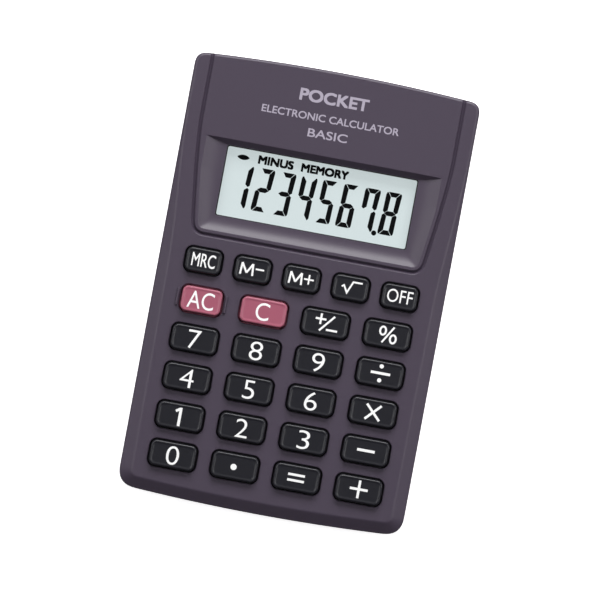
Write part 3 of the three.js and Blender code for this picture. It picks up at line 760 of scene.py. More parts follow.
def top_stations(case):
    """Where the display end's points lie from the middle, with the groove's own points among them."""
    inner = PANEL_SIDE - case.groove_top
    outer = PANEL_SIDE + case.groove_top
    plain = np.linspace(0, inner, 40, endpoint=False)
    return np.concatenate([plain, PANEL_SIDE + GROOVE_STEPS * case.groove_top, [outer + 0.2 * MM]])


def case_loop(inset, case):
    """The case's outline, scaled so that its sides and ends draw in by an inset."""
    loop = symmetric_loop(
        lambda y: HALF_WIDTH + 0 * y,
        lambda x: HALF_LENGTH - crown(x, TOP_END_RADIUS),
        lambda x: crown(x, FOOT_END_RADIUS) - HALF_LENGTH,
        TOP_CORNER,
        FOOT_CORNER,
        top_stations(case),
    )
    return loop * (1 - inset / HALF_WIDTH, 1 - inset / HALF_LENGTH)


def face_loop(case):
    """The flat face's edge, inside the bevel."""
    return symmetric_loop(
        lambda y: HALF_WIDTH - bevel_width(y, case),
        lambda x: HALF_LENGTH - case.bevel_top - crown(x, TOP_END_RADIUS),
        lambda x: case.bevel_foot - HALF_LENGTH + crown(x, FOOT_END_RADIUS),
        FACE_TOP_CORNER,
        FACE_FOOT_CORNER,
        top_stations(case),
    )


def skirt_rings(case):
    """Rings from the parting line up the side, round the shoulder, over the bevel and onto the face. Each
    point goes along the line from the outline to the face's edge, by its inset over the bevel's width."""
    plan = case_loop(0, case)
    edge = face_loop(case)
    width = bevel_width(plan[:, 1], case)
    foot = smoothstep((-plan[:, 1] - HALF_LENGTH + FOOT_TURN_START) / FOOT_TURN)
    slope = case.bevel_slope + (case.foot_slope - case.bevel_slope) * foot
    drop = np.hypot(slope * width, LEAST_DROP)
    slant = np.hypot(width, drop)
    face = case.face_height
    chamfer = case.parting_chamfer
    # The two roundings keep to less than half of the bevel each.
    shoulder = np.minimum(case.edge_radius, 0.45 * slant)
    crest = np.minimum(CREST, 0.45 * slant)
    run = np.stack([width, drop]) / slant
    low = np.stack([SHOULDER_DRAFT + 0 * width, face - drop])
    high = np.stack([width, face + 0 * width])
    stops = [
        np.stack([chamfer + 0 * width, case.parting_height + 0 * width]),
        np.stack([0 * width, case.parting_height + chamfer + 0 * width]),
    ]
    for start, corner, end in [
        (low - np.stack([0 * shoulder, shoulder]), low, low + run * shoulder),
        (high - run * crest, high, high + np.stack([crest, 0 * crest])),
    ]:
        stops += [curve_point(start, corner, end, t) for t in np.linspace(0, 1, 8)]
    notch = case.groove_depth * groove_shape((np.abs(plan[:, 0]) - PANEL_SIDE) / case.groove_top)
    notch = np.where(plan[:, 1] > TOP_ZONE, notch, 0)
    rings = []
    for k, (inset, z) in enumerate(stops):
        share = (inset / width)[:, None]
        fade = smoothstep((k - 1) / 5)
        rings.append(at(plan + (edge - plan) * share, z - notch * fade))
    return rings


def groove_strip(case, ends):
    """The groove: its middle line runs down from the display end, round a corner and across to the other
    side, and every point carries the groove's cross-section square to the line. ends gives the height in
    plan at which each of its lines stops at the display end."""
    top = HALF_LENGTH - 2.0 * MM
    y = np.linspace(top, PANEL_FOOT + PANEL_CORNER, 70)
    side = np.column_stack([panel_side(y), y])
    corner = np.array([panel_side(PANEL_FOOT), PANEL_FOOT])
    foot = np.column_stack([np.linspace(corner[0] - PANEL_CORNER, 0, 30), np.full(30, PANEL_FOOT)])
    half = np.vstack([side, bend(side[-1], corner, foot[0], 12), foot])
    line = np.vstack([half, half[:-1][::-1] * (-1, 1)])
    along = np.gradient(line, axis=0)
    along /= np.linalg.norm(along, axis=1)[:, None]
    across = along[:, ::-1] * (-1, 1)
    fall = smoothstep((line[:, 1] - PANEL_FOOT) / (HALF_LENGTH * 0.6))
    half_width = case.groove_foot + (case.groove_top - case.groove_foot) * fall
    plan = line[:, None] + across[:, None] * (half_width[:, None] * GROOVE_STEPS)[..., None]
    last = plan[[0, -1]].copy()
    last[0, :, 0] = PANEL_SIDE + GROOVE_STEPS * case.groove_top
    last[1, :, 0] = -PANEL_SIDE - GROOVE_STEPS * case.groove_top
    last[..., 1] = ends(last[..., 0])
    plan = np.concatenate([last[:1], plan, last[1:]])
    depth = case.groove_depth * groove_shape(GROOVE_STEPS)
    return np.concatenate([plan, np.broadcast_to(case.face_height - depth, plan.shape[:2])[..., None]], -1)


def surround_loop(level):
    """A level of the sunken surround, from its rim at 0 to the window at 1."""
    rim = symmetric_loop(
        lambda y: np.minimum(panel_side(y) - RIM_MARGIN, RIM_SIDE_LIMIT),
        lambda x: RIM_TOP + 0 * x,
        lambda x: PANEL_FOOT + RIM_MARGIN + 0 * x,
        RIM_TOP_CORNER,
        RIM_FOOT_CORNER,
        WINDOW_STATIONS,
        60,
    )
    return rim + (window_loop(0) - rim) * np.reshape(level, (-1, 1))


def window_loop(grow):
    """The window's opening, grown by a margin."""
    return symmetric_loop(
        lambda y: WINDOW_HALF + grow + 0 * y,
        lambda x: WINDOW_TOP + grow + 0 * x,
        lambda x: WINDOW_FOOT - grow + 0 * x,
        WINDOW_CORNER + grow / 2,
        WINDOW_CORNER + grow / 2,
        WINDOW_STATIONS,
        60,
    )


def surround_rings(case):
    """Rings from the face over the rim, down the hollow walls to the window, through it and back under the
    lip. A wall's height falls as 1 - (1 - level)^p, steep at the rim and flat at the window, and its levels
    lie closer together near the rim."""
    face = case.face_height
    depth = case.surround_depth
    rim = surround_loop(0)
    away = rim - surround_loop(0.06)
    away /= np.linalg.norm(away, axis=1)[:, None]
    on_top = np.isclose(rim[:, 1], RIM_TOP, atol=0.02 * MM)
    fall_power = np.where(on_top, END_WALL_POWER, SIDE_WALL_POWER)
    rings = [at(rim + away * RIM_EASE, face), at(rim + away * RIM_EASE / 2, face - 0.005 * MM)]
    for level in np.linspace(0, 1, 17) ** 1.15:
        fall = 1 - (1 - level) ** fall_power
        start = 0.03 * MM * (1 - level)
        rings.append(at(surround_loop(level * WALL_REACH), face - start - (depth - start) * fall))
    for c, s in quarter(4):
        rings.append(at(window_loop((1 - s) * WINDOW_LIP), face - depth - (1 - c) * WINDOW_LIP))
    return rings + [
        at(window_loop(0), LIP_UNDERSIDE),
        at(window_loop(WINDOW_FRAME), LIP_UNDERSIDE),
        at(window_loop(WINDOW_FRAME), ROOF),
    ]


def key_plan(node):
    """A key's centre and its hole's width and length, from the key's own flange."""
    centre, width, length, _, _ = plan_box(node)
    return centre, width - 2 * FLANGE_REACH, length - 2 * FLANGE_REACH


def hole_rings(node, case):
    """Rings from the face over a rounded lip and down a key's hole."""
    centre, width, length = key_plan(node)
    lip = case.hole_lip
    rings = []
    for c, s in quarter(5):
        grow = lip * (1 - s)
        drop = lip * (1 - c)
        loop = rounded_loop(centre, width + 2 * grow, length + 2 * grow, HOLE_CORNER + grow)
        rings.append(at(loop, case.face_height - drop))
    rings.append(at(rounded_loop(centre, width, length, HOLE_CORNER), ROOF))
    return rings


class CALCULATOR_OT_upper_case(bpy.types.Operator):
    """Build the front shell: bevel, groove, sunken surround, key holes and guard ridges"""

    bl_idname = "calculator.upper_case"
    bl_label = "Upper case"

    def execute(self, context):
        case = context.scene.calculator_case
        face = case.face_height
        skin = Skin()
        skirt = skirt_rings(case)
        cavity = case_loop(WALL, case)
        skin.rings([at(cavity, ROOF), at(cavity, case.parting_height), *skirt])

        last = skirt[-1]
        upper = last[last[:, 1] > TOP_ZONE]
        order = np.argsort(upper[:, 0])
        groove = groove_strip(case, lambda x: np.interp(x, upper[order, 0], upper[order, 1]))
        skin.rings(groove, closed=False)

        # The groove's lines run from the right end round to the left; its inner edge is its last column
        # or its first, whichever lies nearer the middle.
        inner, outer = groove[:, -1, :2], groove[:, 0, :2]
        if abs(inner[0, 0]) > abs(outer[0, 0]):
            inner, outer = outer, inner
        edge = last[:, :2]
        on_top = edge[:, 1] > TOP_ZONE
        across = edge[on_top & (np.abs(edge[:, 0]) < PANEL_SIDE - case.groove_top - WELD)]
        around = edge[~(on_top & (np.abs(edge[:, 0]) < PANEL_SIDE + case.groove_top - WELD))]
        start = int(np.argmax(np.abs(np.diff(around[:, 0]))))
        around = np.roll(around, -(start + 1), axis=0)
        across = across[np.argsort(-across[:, 0])]

        surround = surround_rings(case)
        skin.rings(surround)
        skin.fill([np.vstack([across, inner[::-1]]), surround[0]], face)

        holes = [hole_rings(node, case) for node in KEYS]
        for rings in holes:
            skin.rings(rings)
        centre, width, _ = key_plan(GUARDED_KEY)
        reach = width / 2 + case.hole_lip + GUARD_GAP
        ridges = []
        for side in (-1, 1):
            place = (centre[0] + side * reach, centre[1])
            ridge = ridge_rings(place, GUARD_SIZE, GUARD_CORNER, GUARD_EDGE, face, GUARD_HEIGHT)
            skin.rings(ridge)
            skin.fill(ridge[-1:])
            ridges.append(ridge)
        lower_face = np.vstack([around[1:-1], outer if around[-1, 0] > 0 else outer[::-1]])
        skin.fill([lower_face, *[rings[0] for rings in holes + ridges]], face)
        skin.fill([cavity, surround[-1], *[rings[-1] for rings in holes]], ROOF, up=False)
        plastic = spark_eroded_abs(context.scene)
        piece("upper_case_shell", skin, plastic, "case", "upper_case")
        return {"FINISHED"}


# Back ---------------------------------------------------------------------------------------------


def cover_loop(grow_x, grow_y=None):
    """The battery cover's outline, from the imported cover, grown or shrunk. One margin serves both ways."""
    centre, width, length, _, _ = plan_box("battery_cover")
    grow_y = grow_x if grow_y is None else grow_y
    return rounded_loop(centre, width + 2 * grow_x, length + 2 * grow_y, COVER_CORNER)


class CALCULATOR_OT_lower_case(bpy.types.Operator):
    """Build the back shell: rounded edge, screw wells and the battery cover's seat"""

    bl_idname = "calculator.lower_case"
    bl_label = "Lower case"

    def execute(self, context):
        case = context.scene.calculator_case
        part = case.parting_height
        chamfer = case.parting_chamfer
        skin = Skin()
        cavity = case_loop(LOWER_WALL, case)
        rings = [at(case_loop(BACK_EDGE * (1 - s), case), BACK_EDGE * (1 - c)) for c, s in quarter(8)]
        rings += [
            at(case_loop(0, case), part - chamfer),
            at(case_loop(chamfer, case), part),
            at(cavity, part),
            at(cavity, FLOOR),
        ]
        skin.rings(rings)

        well = [
            (WELL_RADIUS + 0.17 * MM, 0),
            (WELL_RADIUS + 0.08 * MM, 0.03 * MM),
            (WELL_RADIUS + 0.01 * MM, 0.14 * MM),
            (WELL_RADIUS, SCREW_SEAT),
            (SCREW_HOLE, SCREW_SEAT),
            (SCREW_HOLE, part),
            (POST_RADIUS, part),
            (POST_RADIUS, FLOOR),
        ]
        ledge = [COVER_GAP - reach for reach in COVER_LEDGE]
        seat = [
            at(cover_loop(COVER_GAP + 0.15 * MM), 0),
            at(cover_loop(COVER_GAP + 0.04 * MM), 0.04 * MM),
            at(cover_loop(COVER_GAP), 0.15 * MM),
            at(cover_loop(COVER_GAP), COVER_LEDGE_HEIGHT),
            at(cover_loop(*ledge), COVER_LEDGE_HEIGHT),
            at(cover_loop(*ledge), FLOOR),
        ]
        holes = [*[turned(plan_box(node)[0], well) for node in CASE_SCREWS], seat]
        # Seen from below, a hole's rings run the other way round.
        for hole in holes:
            skin.rings([ring[::-1] for ring in hole])
        skin.fill([rings[0], *[hole[0] for hole in holes]], 0, up=False)
        skin.fill([cavity, *[hole[-1] for hole in holes]], FLOOR)
        plastic = spark_eroded_abs(context.scene)
        piece("lower_case_shell", skin, plastic, "case", "lower_case")
        return {"FINISHED"}


class CALCULATOR_OT_battery_cover(bpy.types.Operator):
    """Build the battery cover: an eased plate with a screw well, finger ridges and its seated inner step"""

    bl_idname = "calculator.battery_cover"
    bl_label = "Battery cover"

    def execute(self, context):
        low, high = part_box("battery_cover")
        middle = plan_box("battery_cover")[0][1]
        step = [-reach for reach in COVER_LEDGE]
        inner = [reach - COVER_STEP_EDGE for reach in step]
        skin = Skin()
        rings = [at(cover_loop(-COVER_EDGE * (1 - s)), low.z + COVER_EDGE * (1 - c)) for c, s in quarter(5)]
        rings += [
            at(cover_loop(0), COVER_LEDGE_HEIGHT),
            at(cover_loop(*step), COVER_LEDGE_HEIGHT),
            at(cover_loop(*step), high.z - COVER_STEP_EDGE),
            at(cover_loop(*inner), high.z),
        ]
        skin.rings(rings)
        well = turned(plan_box(COVER_SCREW)[0], [
            (WELL_RADIUS + 0.13 * MM, low.z),
            (WELL_RADIUS + 0.02 * MM, 0.2 * MM),
            (WELL_RADIUS, 0.28 * MM),
            (WELL_RADIUS, 0.8 * MM),
            (SCREW_HOLE, 0.8 * MM),
            (SCREW_HOLE, high.z),
        ])
        skin.rings([ring[::-1] for ring in well])
        # Five shallow finger ridges lie across the end away from the screw.
        ridges = []
        for k in range(5):
            place = (low.x + FINGER_RIDGE_START + FINGER_RIDGE_PITCH * k, middle)
            ridge = ridge_rings(
                place, FINGER_RIDGE, FINGER_CORNER, FINGER_EDGE, low.z, -FINGER_HEIGHT, (4, 4)
            )
            skin.rings([ring[::-1] for ring in ridge])
            skin.fill(ridge[-1:], up=False)
            ridges.append(ridge)
        skin.fill([rings[0], well[0], *[ridge[0] for ridge in ridges]], low.z, up=False)
        skin.fill([rings[-1], well[-1]], high.z)
        plastic = spark_eroded_abs(context.scene)
        piece("battery_cover_plate", skin, plastic, "battery_cover_body", "battery_cover")
        return {"FINISHED"}


class CALCULATOR_OT_screws(bpy.types.Operator):
    """Build the screws that show: round heads with a cross recess, driven from the back"""

    bl_idname = "calculator.screws"
    bl_label = "Screws"

    def execute(self, context):
        finish = black_zinc(context.scene)
        arm, reach = RECESS_ARM, RECESS_REACH
        for node in [*CASE_SCREWS, COVER_SCREW]:
            place, _, _, low, high = plan_box(node)
            body, head = ("battery_cover_body", COVER_HEAD) if node == COVER_SCREW else ("case", CASE_HEAD)
            seat = low + head
            cross = np.array([
                (reach, -arm), (reach, arm), (arm, arm), (arm, reach), (-arm, reach), (-arm, arm),
                (-reach, arm), (-reach, -arm), (-arm, -arm), (-arm, -reach), (arm, -reach), (arm, -arm),
            ]) + place
            profile = [(HEAD_FLAT, low)]
            profile += [
                (HEAD_FLAT + (HEAD_RADIUS - HEAD_FLAT) * s, low + head * 0.6 * (1 - c)) for c, s in quarter(6)
            ]
            profile += [
                (HEAD_RADIUS, seat - 0.05 * MM),
                (HEAD_RADIUS - 0.05 * MM, seat),
                (SHANK_RADIUS, seat),
                (SHANK_RADIUS, high - 0.6 * MM),
                (0.25 * MM, high - 0.05 * MM),
                (0.12 * MM, high),
            ]
            rings = turned(place, profile)
            skin = Skin()
            skin.rings(rings)
            skin.fill(rings[-1:])
            skin.fill([rings[0], cross], up=False)
            sunk = at((cross - place) * 0.8 + place, low + RECESS_DEPTH)
            skin.rings([at(cross, low)[::-1], sunk[::-1]])
            skin.fill([sunk], up=False)
            piece(node + "_fastener", skin, finish, body, node)
        return {"FINISHED"}


# Keys and their print -----------------------------------------------------------------------------


# Each legend is a list of marks about its key's centre, in millimetres: letters with a centre, width,
# height, weight and thinning; bars with a centre, width and height; dots with a centre and width; rings
# with a centre, width, height and pen; bent lines with their points and pen; outlines with their points.
def digit_legend(text, width):
    """A digit, a touch left of and below the key's centre, as it is printed."""
    return [("letters", text, (-0.02, -0.04), width, 3.62, 0.0, -0.008)]


def memory_legend(x):
    """The letter M: two legs that lean out a little, and a deep notch."""
    corners = [(-1.2, -1.17), (-1.05, 1.13), (0, -0.72), (1.05, 1.13), (1.2, -1.17)]
    corners = [(x + across, 0.03 + up) for across, up in corners]
    return [("line", list(pair), 0.37) for pair in zip(corners, corners[1:])]


LEGENDS = {
    "key_mrc": [("letters", "MRC", (0.02, 0.08), 4.6, 2.65, 0.015)],
    "key_m_minus": [*memory_legend(-1.08), ("bar", (1.4, 0.28), 1.65, 0.32)],
    "key_m_plus": [
        *memory_legend(-1.15),
        ("bar", (1.42, 0.15), 1.9, 0.32),
        ("bar", (1.42, 0.15), 0.32, 1.9),
    ],
    "key_sqrt": [("line", [(-1.75, 0.1), (-1.35, 0.4), (-0.6, -0.95), (0.35, 1.25), (2.15, 1.25)], 0.33)],
    "key_off": [("letters", "OFF", (0.05, 0.15), 5.0, 2.55, 0.0)],
    "key_ac": [("letters", "AC", (-0.12, 0.0), 5.15, 3.4, 0.0)],
    "key_c": [("letters", "C", (-0.17, 0.03), 2.65, 3.45, 0.0)],
    "key_sign": [
        ("bar", (-0.98, 0.78), 2.1, 0.4),
        ("bar", (-0.98, 0.78), 0.4, 2.1),
        ("line", [(-0.98, -1.5), (1.62, 1.62)], 0.38),
        ("bar", (1.42, -1.15), 2.2, 0.4),
    ],
    "key_percent": [
        ("ring", (-0.95, 0.72), 1.5, 1.95, 0.38),
        ("ring", (1.2, -0.62), 1.5, 1.95, 0.38),
        ("line", [(-0.85, -1.55), (1.12, 1.7)], 0.36),
    ],
    "key_7": digit_legend("7", 2.5),
    "key_8": digit_legend("8", 2.55),
    "key_9": digit_legend("9", 2.5),
    "key_4": digit_legend("4", 2.72),
    "key_5": digit_legend("5", 2.25),
    "key_6": digit_legend("6", 2.5),
    "key_1": [("outline", [
        (0.24, -1.86), (0.24, 1.74), (-0.22, 1.74), (-1.08, 1.16), (-0.84, 0.76), (-0.3, 1.1), (-0.3, -1.86),
    ])],
    "key_2": digit_legend("2", 2.45),
    "key_3": digit_legend("3", 2.35),
    "key_0": digit_legend("0", 2.5),
    "key_divide": [
        ("bar", (0.05, 0.12), 3.8, 0.5),
        ("dot", (0.05, 1.48), 0.82),
        ("dot", (0.05, -1.26), 0.82),
    ],
    "key_multiply": [
        ("line", [(-1.4, -1.45), (1.45, 1.5)], 0.46),
        ("line", [(-1.4, 1.5), (1.45, -1.45)], 0.46),
    ],
    "key_minus": [("bar", (0.02, 0.1), 3.45, 0.52)],
    "key_point": [("dot", (-0.2, -0.05), 1.2)],
    "key_equals": [("bar", (-0.12, 0.62), 3.3, 0.46), ("bar", (-0.12, -0.48), 3.3, 0.46)],
    "key_plus": [("bar", (0.02, 0.12), 3.5, 0.48), ("bar", (0.02, 0.12), 0.48, 3.5)],
}


def mark_shapes(mark):
    """The flat shapes of one mark of a legend, in millimetres about its key's centre."""
    kind, *facts = mark
    if kind == "letters":
        text, centre, width, height, *weight = facts
        reach = np.array([width, height]) / 2
        return lettering(text, centre - reach, centre + reach, *weight)
    if kind == "bar":
        centre, width, height = facts
        return [outline([bar(centre, width, height)])]
    if kind == "dot":
        centre, across = facts
        return [outline([oval(centre, across, across)])]
    if kind == "ring":
        centre, width, height, pen = facts
        return [outline([oval(centre, width, height), oval(centre, width - 2 * pen, height - 2 * pen)])]
    if kind == "line":
        points, pen = facts
        return [outline([polyline(points, pen)])]
    return [outline([np.array(facts[0])])]


def in_metres(shapes, centre=(0, 0)):
    """Flat shapes given in millimetres about a centre, in metres."""
    return [(points * MM + centre, edges) for points, edges in shapes]


class CALCULATOR_OT_keys(bpy.types.Operator):
    """Build the keys: flanged caps with a drafted side, a rounded top edge and a shallow dish"""

    bl_idname = "calculator.keys"
    bl_label = "Keys"

    def execute(self, context):
        keys = context.scene.calculator_keys
        black = satin_key_abs(context.scene)
        red = satin_red_abs(context.scene)
        dish = [(keys.dish_width * t, keys.dish * smoothstep(t)) for t in np.linspace(0, 1, 7)[1:]]
        for node in KEYS:
            low, high = (corner.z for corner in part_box(node))
            centre, width, length = key_plan(node)
            top = -KEY_GAP - keys.draft
            stops = [
                (FLANGE_REACH, low + KEY_RELIEF),
                (FLANGE_REACH, ROOF - KEY_RELIEF),
                (-KEY_GAP, ROOF - KEY_RELIEF),
            ]
            stops += [(top - keys.edge * (1 - c), high - keys.edge * (1 - s)) for c, s in quarter(8)]
            stops += [(top - keys.edge - inward, high - drop) for inward, drop in dish]
            skin = Skin()
            skin.solid([
                at(rounded_loop(centre, width + 2 * grow, length + 2 * grow, HOLE_CORNER + grow), z)
                for grow, z in stops
            ])
            plastic, slot = (red, "red_key_plastic") if node in RED_KEYS else (black, "key_plastic")
            piece(node + "_cap", skin, plastic, node + "_body", node)
        return {"FINISHED"}


class CALCULATOR_OT_legends(bpy.types.Operator):
    """Print the legends on the keys"""

    bl_idname = "calculator.legends"
    bl_label = "Legends"

    def execute(self, context):
        keys = context.scene.calculator_keys
        ink = printed_ink_and_painted_shadow(context.scene, "white legend ink", keys.legend)
        for node in KEYS:
            centre, _, _, _, high = plan_box(node)
            shapes = [shape for mark in LEGENDS[node] for shape in mark_shapes(mark)]
            skin = Skin()
            low = high - keys.dish
            skin.stamp(in_metres(shapes, centre), low, low + keys.print_height)
            piece(node.replace("key_", "legend_"), skin, ink, node + "_body", weighted=False)
        return {"FINISHED"}


class CALCULATOR_OT_face_print(bpy.types.Operator):
    """Print three plain lines above the display"""

    bl_idname = "calculator.face_print"
    bl_label = "Face print"

    def execute(self, context):
        case = context.scene.calculator_case
        ink = printed_ink_and_painted_shadow(context.scene, "lilac grey ink", case.print_colour)
        shapes = [shape for line in FACE_LINES for shape in lettering(*line)]
        skin = Skin()
        skin.stamp(in_metres(shapes), case.face_height, case.face_height + PRINT_HEIGHT)
        piece("face_print", skin, ink, "case", weighted=False)
        return {"FINISHED"}


# Display ------------------------------------------------------------------------------------------


# Segments by letter: a top, b upper right, c lower right, d foot, e lower left, f upper left, g middle.
DIGITS = ["bc", "abged", "abgcd", "fgbc", "afgcd", "afgecd", "fabc", "abcdefg"]
# The segments that mirror another one, and how.
TWINS = {"c": ("b", (1, -1)), "d": ("a", (1, -1)), "e": ("b", (-1, -1)), "f": ("b", (-1, 1))}


def segment_outline(letter, display):
    """One segment of a digit that stands on (0, 0): upright ones as wide as the pen, level ones as slim
    says, with mitred ends pulled back from the gap and the digit's outer corners rounded."""
    width, height = display.digit_width, display.digit_height
    pen, slim = display.segment, display.level_segment
    pull = display.gap * 0.7
    half = height / 2
    if letter in TWINS:
        partner, flip = TWINS[letter]
        twin = segment_outline(partner, display)
        return (twin - (width / 2, half)) * flip + (width / 2, half)
    if letter == "a":
        return np.array([
            (0.32 * pen + pull, height), (pen + 0.7 * pull, height - slim),
            (width - pen - 0.7 * pull, height - slim), (width - 0.32 * pen - pull, height),
        ])
    if letter == "b":
        return np.array([
            (width - pen, half + slim / 2 + pull), (width - 0.45 * pen, half + pull),
            (width - 0.08 * pen, half + 0.4 * slim), (width, height - 0.6 * slim),
            (width - 0.1 * pen, height - 0.2 * slim), (width - 0.3 * pen, height - 0.04 * slim),
            (width - pen, height - slim - 0.4 * pull),
        ])
    side = np.array([(pull + 0.3 * pen, half), (pen, half - slim / 2), (width - pen, half - slim / 2)])
    return np.vstack([side, (width, height) - side])


class CALCULATOR_OT_display(bpy.types.Operator):
    """Build the display's segments, words and marks, and the clear window over them"""

    bl_idname = "calculator.display"
    bl_label = "Display"

    def execute(self, context):
        display = context.scene.calculator_display
        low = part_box("lcd_front_polarizer")[1].z + FILM_GAP
        foot = np.array(FIRST_DIGIT) * MM
        ink = liquid_crystal(context.scene)
        lean = math.tan(display.slant)
        digits = []
        for k, letters in enumerate(DIGITS):
            start = foot + (k * display.digit_pitch - lean * display.digit_height, 0)
            for letter in letters:
                points = segment_outline(letter, display)
                digits.append(outline([points + np.outer(points[:, 1], (lean, 0)) + start]))
        digits += in_metres([outline([oval(DECIMAL_POINT, 1.0, 1.0)])])
        # The minus sign is a lens with blunt ends.
        across = np.linspace(-1, 1, 25)
        bulge = 0.5 * (1 - across**2) ** 0.75
        lens = np.vstack([
            np.column_stack([1.2 * across, -bulge]),
            np.column_stack([1.2 * across, bulge])[-2:0:-1],
        ])
        sign = in_metres([outline([lens + MINUS_SIGN])])
        words = in_metres([shape for word in DISPLAY_WORDS for shape in lettering(*word)])
        for name, shapes in [("lcd_digits", digits), ("lcd_minus_sign", sign), ("lcd_words", words)]:
            skin = Skin()
            skin.stamp(shapes, low, low + SEGMENT_HEIGHT)
            piece(name, skin, ink, "case", weighted=False)

        centre, width, length, near, far = plan_box("display_window")
        # A black band of painted shadow round the opening, mostly under the window's lip.
        border = Skin()
        hidden, shown = window_loop(BORDER_HIDDEN), window_loop(-display.border)
        border.stamp([outline([hidden, shown])], near + BORDER_FOOT, near + BORDER_TOP)
        black = printed_ink_and_painted_shadow(context.scene, "black painted shadow border", display.shadow_border_colour)
        piece("display_window_border", border, black, "case", weighted=False)

        base = near + PANE_FOOT
        pane = Skin()
        pane.solid([
            at(rounded_loop(centre, width - 2 * inset, length - 2 * inset, PANE_CORNER), z)
            for inset, z in [
                (PANE_EDGE, base), (0, base + PANE_EDGE), (0, far - PANE_EDGE), (PANE_EDGE, far)
            ]
        ])
        clear = cast_acrylic(context.scene)
        piece("display_window_pane", pane, clear, "case", "display_window")
        return {"FINISHED"}


# Inside -------------------------------------------------------------------------------------------


class CALCULATOR_OT_membrane(bpy.types.Operator):
    """Build the rubber membrane: a sheet on the board, and a dome under each key"""

    bl_idname = "calculator.membrane"
    bl_label = "Membrane"

    def execute(self, context):
        rubber = silicone_rubber(context.scene)
        middle, width, length, low, high = plan_box("keypad_membrane")
        web = low + WEB
        # A dome's side follows a smooth step in radius, so that it flares into the sheet.
        profile = [
            (DOME_RADIUS - DOME_FLARE * float(smoothstep(s * 1.1)), web + (high - web) * s)
            for s in np.linspace(0, 1, 12)
        ]
        for node in KEYS:
            centre = key_plan(node)[0]
            skin = Skin()
            skin.solid(turned(centre, profile, 40))
            name = node.replace("key_", "membrane_dome_")
            dome = piece(name, skin, rubber, "case", weighted=False)
            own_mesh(dome)
        edge = rounded_loop(middle, width - 2 * SHEET_TRIM, length - 2 * SHEET_TRIM, SHEET_CORNER)
        sheet = Skin()
        sheet.solid([at(edge, low), at(edge, web)])
        piece("membrane_sheet", sheet, rubber, "case", "keypad_membrane", weighted=False)
        return {"FINISHED"}


class CALCULATOR_OT_inner_finishes(bpy.types.Operator):
    """Give every piece kept from the frame its own finish"""

    bl_idname = "calculator.inner_finishes"
    bl_label = "Inner finishes"

    def execute(self, context):
        scene = context.scene
        finishes = {
            "lcd_front_polarizer": polarizer_film_painted_glow,
            "lcd_upper_glass": soda_glass,
            "lcd_lower_glass": soda_glass,
            "lcd_rear_reflector": polarizer_film_painted_glow,
            "zebra_connector": silicone_rubber,
            "circuit_board": glass_epoxy_laminate,
            "chip_blob": epoxy_resin,
            "capacitor": fired_ceramic,
            "resistor": epoxy_resin,
            "battery": nickel_plate,
            "contact_positive": nickel_plate,
            "contact_negative": nickel_plate,
            **{f"board_screw_{k}": black_zinc for k in range(1, 5)},
        }
        for node, finish in finishes.items():
            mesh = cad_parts[node].data
            mesh.materials.clear()
            mesh.materials.append(finish(scene))
        return {"FINISHED"}


# Studio -------------------------------------------------------------------------------------------


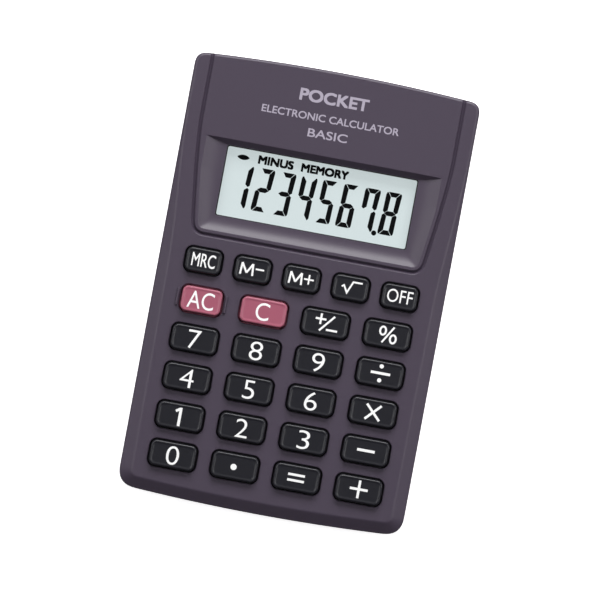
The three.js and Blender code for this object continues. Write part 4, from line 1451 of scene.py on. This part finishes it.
class CALCULATOR_OT_stage(bpy.types.Operator):
    """Set the camera, the paper floor, the softboxes and the surroundings"""

    bl_idname = "calculator.stage"
    bl_label = "Studio"

    def execute(self, context):
        scene = context.scene
        stage = scene.calculator_stage
        face = scene.calculator_case.face_height
        camera = bpy.data.cameras.new("camera")
        camera.lens = stage.lens
        camera.clip_start = 0.01
        camera.clip_end = 20
        eye = bpy.data.objects.new("camera", camera)
        scene.collection.objects.link(eye)
        c, s = math.cos(stage.roll), math.sin(stage.roll)
        right, up = stage.look_offset
        distance = stage.framing * stage.lens / camera.sensor_width
        eye.location = (c * right - s * up, s * right + c * up, face + distance)
        eye.rotation_euler = (0, 0, stage.roll)
        scene.camera = eye
        scene.view_settings.view_transform = "Standard"

        # The paper lies a hair under the back, so that the two never share a plane.
        size, level = 3.0, -0.05 * MM
        paper = bpy.data.meshes.new("paper_floor")
        corners = [(-size, -size, level), (size, -size, level), (size, size, level), (-size, size, level)]
        paper.from_pydata(corners, [], [(0, 1, 2, 3)])
        floor = bpy.data.objects.new("paper_floor", paper)
        scene.collection.objects.link(floor)
        paper.materials.append(self.backdrop_paper(stage.floor))
        # The case's steep lower sides stay dark, as beside black flags, and mirror no paper.
        floor.visible_glossy = False

        # Softboxes stand past the display end and at each side, none at the foot end.
        boxes = [
            ("softbox_top", (0, 0.8, 0.55), (0.9, 0.42), stage.top_light),
            ("softbox_left", (-0.48, 0.12, 0.63), (0.25, 0.6), stage.side_light),
            ("softbox_right", (0.48, 0.12, 0.63), (0.25, 0.6), stage.side_light),
        ]
        for name, place, spread, power in boxes:
            lamp = bpy.data.lights.new(name, "AREA")
            lamp.shape = "RECTANGLE"
            lamp.size, lamp.size_y = spread
            lamp.energy = power
            holder = bpy.data.objects.new(name, lamp)
            holder.location = place
            holder.rotation_euler = (-Vector(place)).to_track_quat("-Z", "Y").to_euler()
            scene.collection.objects.link(holder)
        world = bpy.data.worlds.new("surroundings")
        world.use_nodes = True
        background = world.node_tree.nodes["Background"]
        background.inputs["Color"].default_value = (1, 1, 1, 1)
        background.inputs["Strength"].default_value = stage.fill_light
        scene.world = world
        return {"FINISHED"}

    @staticmethod
    def backdrop_paper(shade):
        """Seamless white paper, lit from behind so that it holds no shadow."""
        material, tree = blank("backdrop paper")
        if tree is None:
            return material
        place = add_node(tree, "ShaderNodeTexCoord").outputs["Object"]
        fibre = add_node(tree, "ShaderNodeTexNoise", {"Vector": place, "Scale": 1 / (1.5 * MM)})
        bump = add_node(tree, "ShaderNodeBump", {"Height": fibre.outputs["Fac"], "Distance": 0.005 * MM})
        shader = add_node(tree, "ShaderNodeBsdfPrincipled", {
            "Base Color": linear(shade),
            "Roughness": 0.9,
            "Normal": bump.outputs["Normal"],
            "Emission Color": linear(shade),
            "Emission Strength": 1.0,
        })
        add_node(tree, "ShaderNodeOutputMaterial", {"Surface": shader.outputs["BSDF"]})
        return material


# Add-on -------------------------------------------------------------------------------------------


GROUPS = {
    "calculator_case": CalculatorCase,
    "calculator_keys": CalculatorKeys,
    "calculator_display": CalculatorDisplay,
    "calculator_stage": CalculatorStage,
}
OPERATORS = (
    CALCULATOR_OT_upper_case,
    CALCULATOR_OT_lower_case,
    CALCULATOR_OT_battery_cover,
    CALCULATOR_OT_screws,
    CALCULATOR_OT_keys,
    CALCULATOR_OT_legends,
    CALCULATOR_OT_face_print,
    CALCULATOR_OT_display,
    CALCULATOR_OT_membrane,
    CALCULATOR_OT_inner_finishes,
    CALCULATOR_OT_stage,
)


class VIEW3D_PT_calculator(bpy.types.Panel):
    """Lists the sizes, colours and build steps"""

    bl_label = "Pocket Calculator"
    bl_space_type = "VIEW_3D"
    bl_region_type = "UI"
    bl_category = "Calculator"

    def draw(self, context):
        for operator in OPERATORS:
            self.layout.operator(operator.bl_idname)
        for name, group in GROUPS.items():
            box = self.layout.box()
            for key in group.__annotations__:
                box.prop(getattr(context.scene, name), key)


def register():
    for cls in (*GROUPS.values(), *OPERATORS, VIEW3D_PT_calculator):
        bpy.utils.register_class(cls)
    for name, group in GROUPS.items():
        setattr(bpy.types.Scene, name, PointerProperty(type=group))


def unregister():
    for name in GROUPS:
        delattr(bpy.types.Scene, name)
    for cls in reversed((*GROUPS.values(), *OPERATORS, VIEW3D_PT_calculator)):
        bpy.utils.unregister_class(cls)


def main():
    register()
    for operator in OPERATORS:
        group, name = operator.bl_idname.split(".")
        getattr(getattr(bpy.ops, group), name)()


if __name__ == "__main__":
    main()
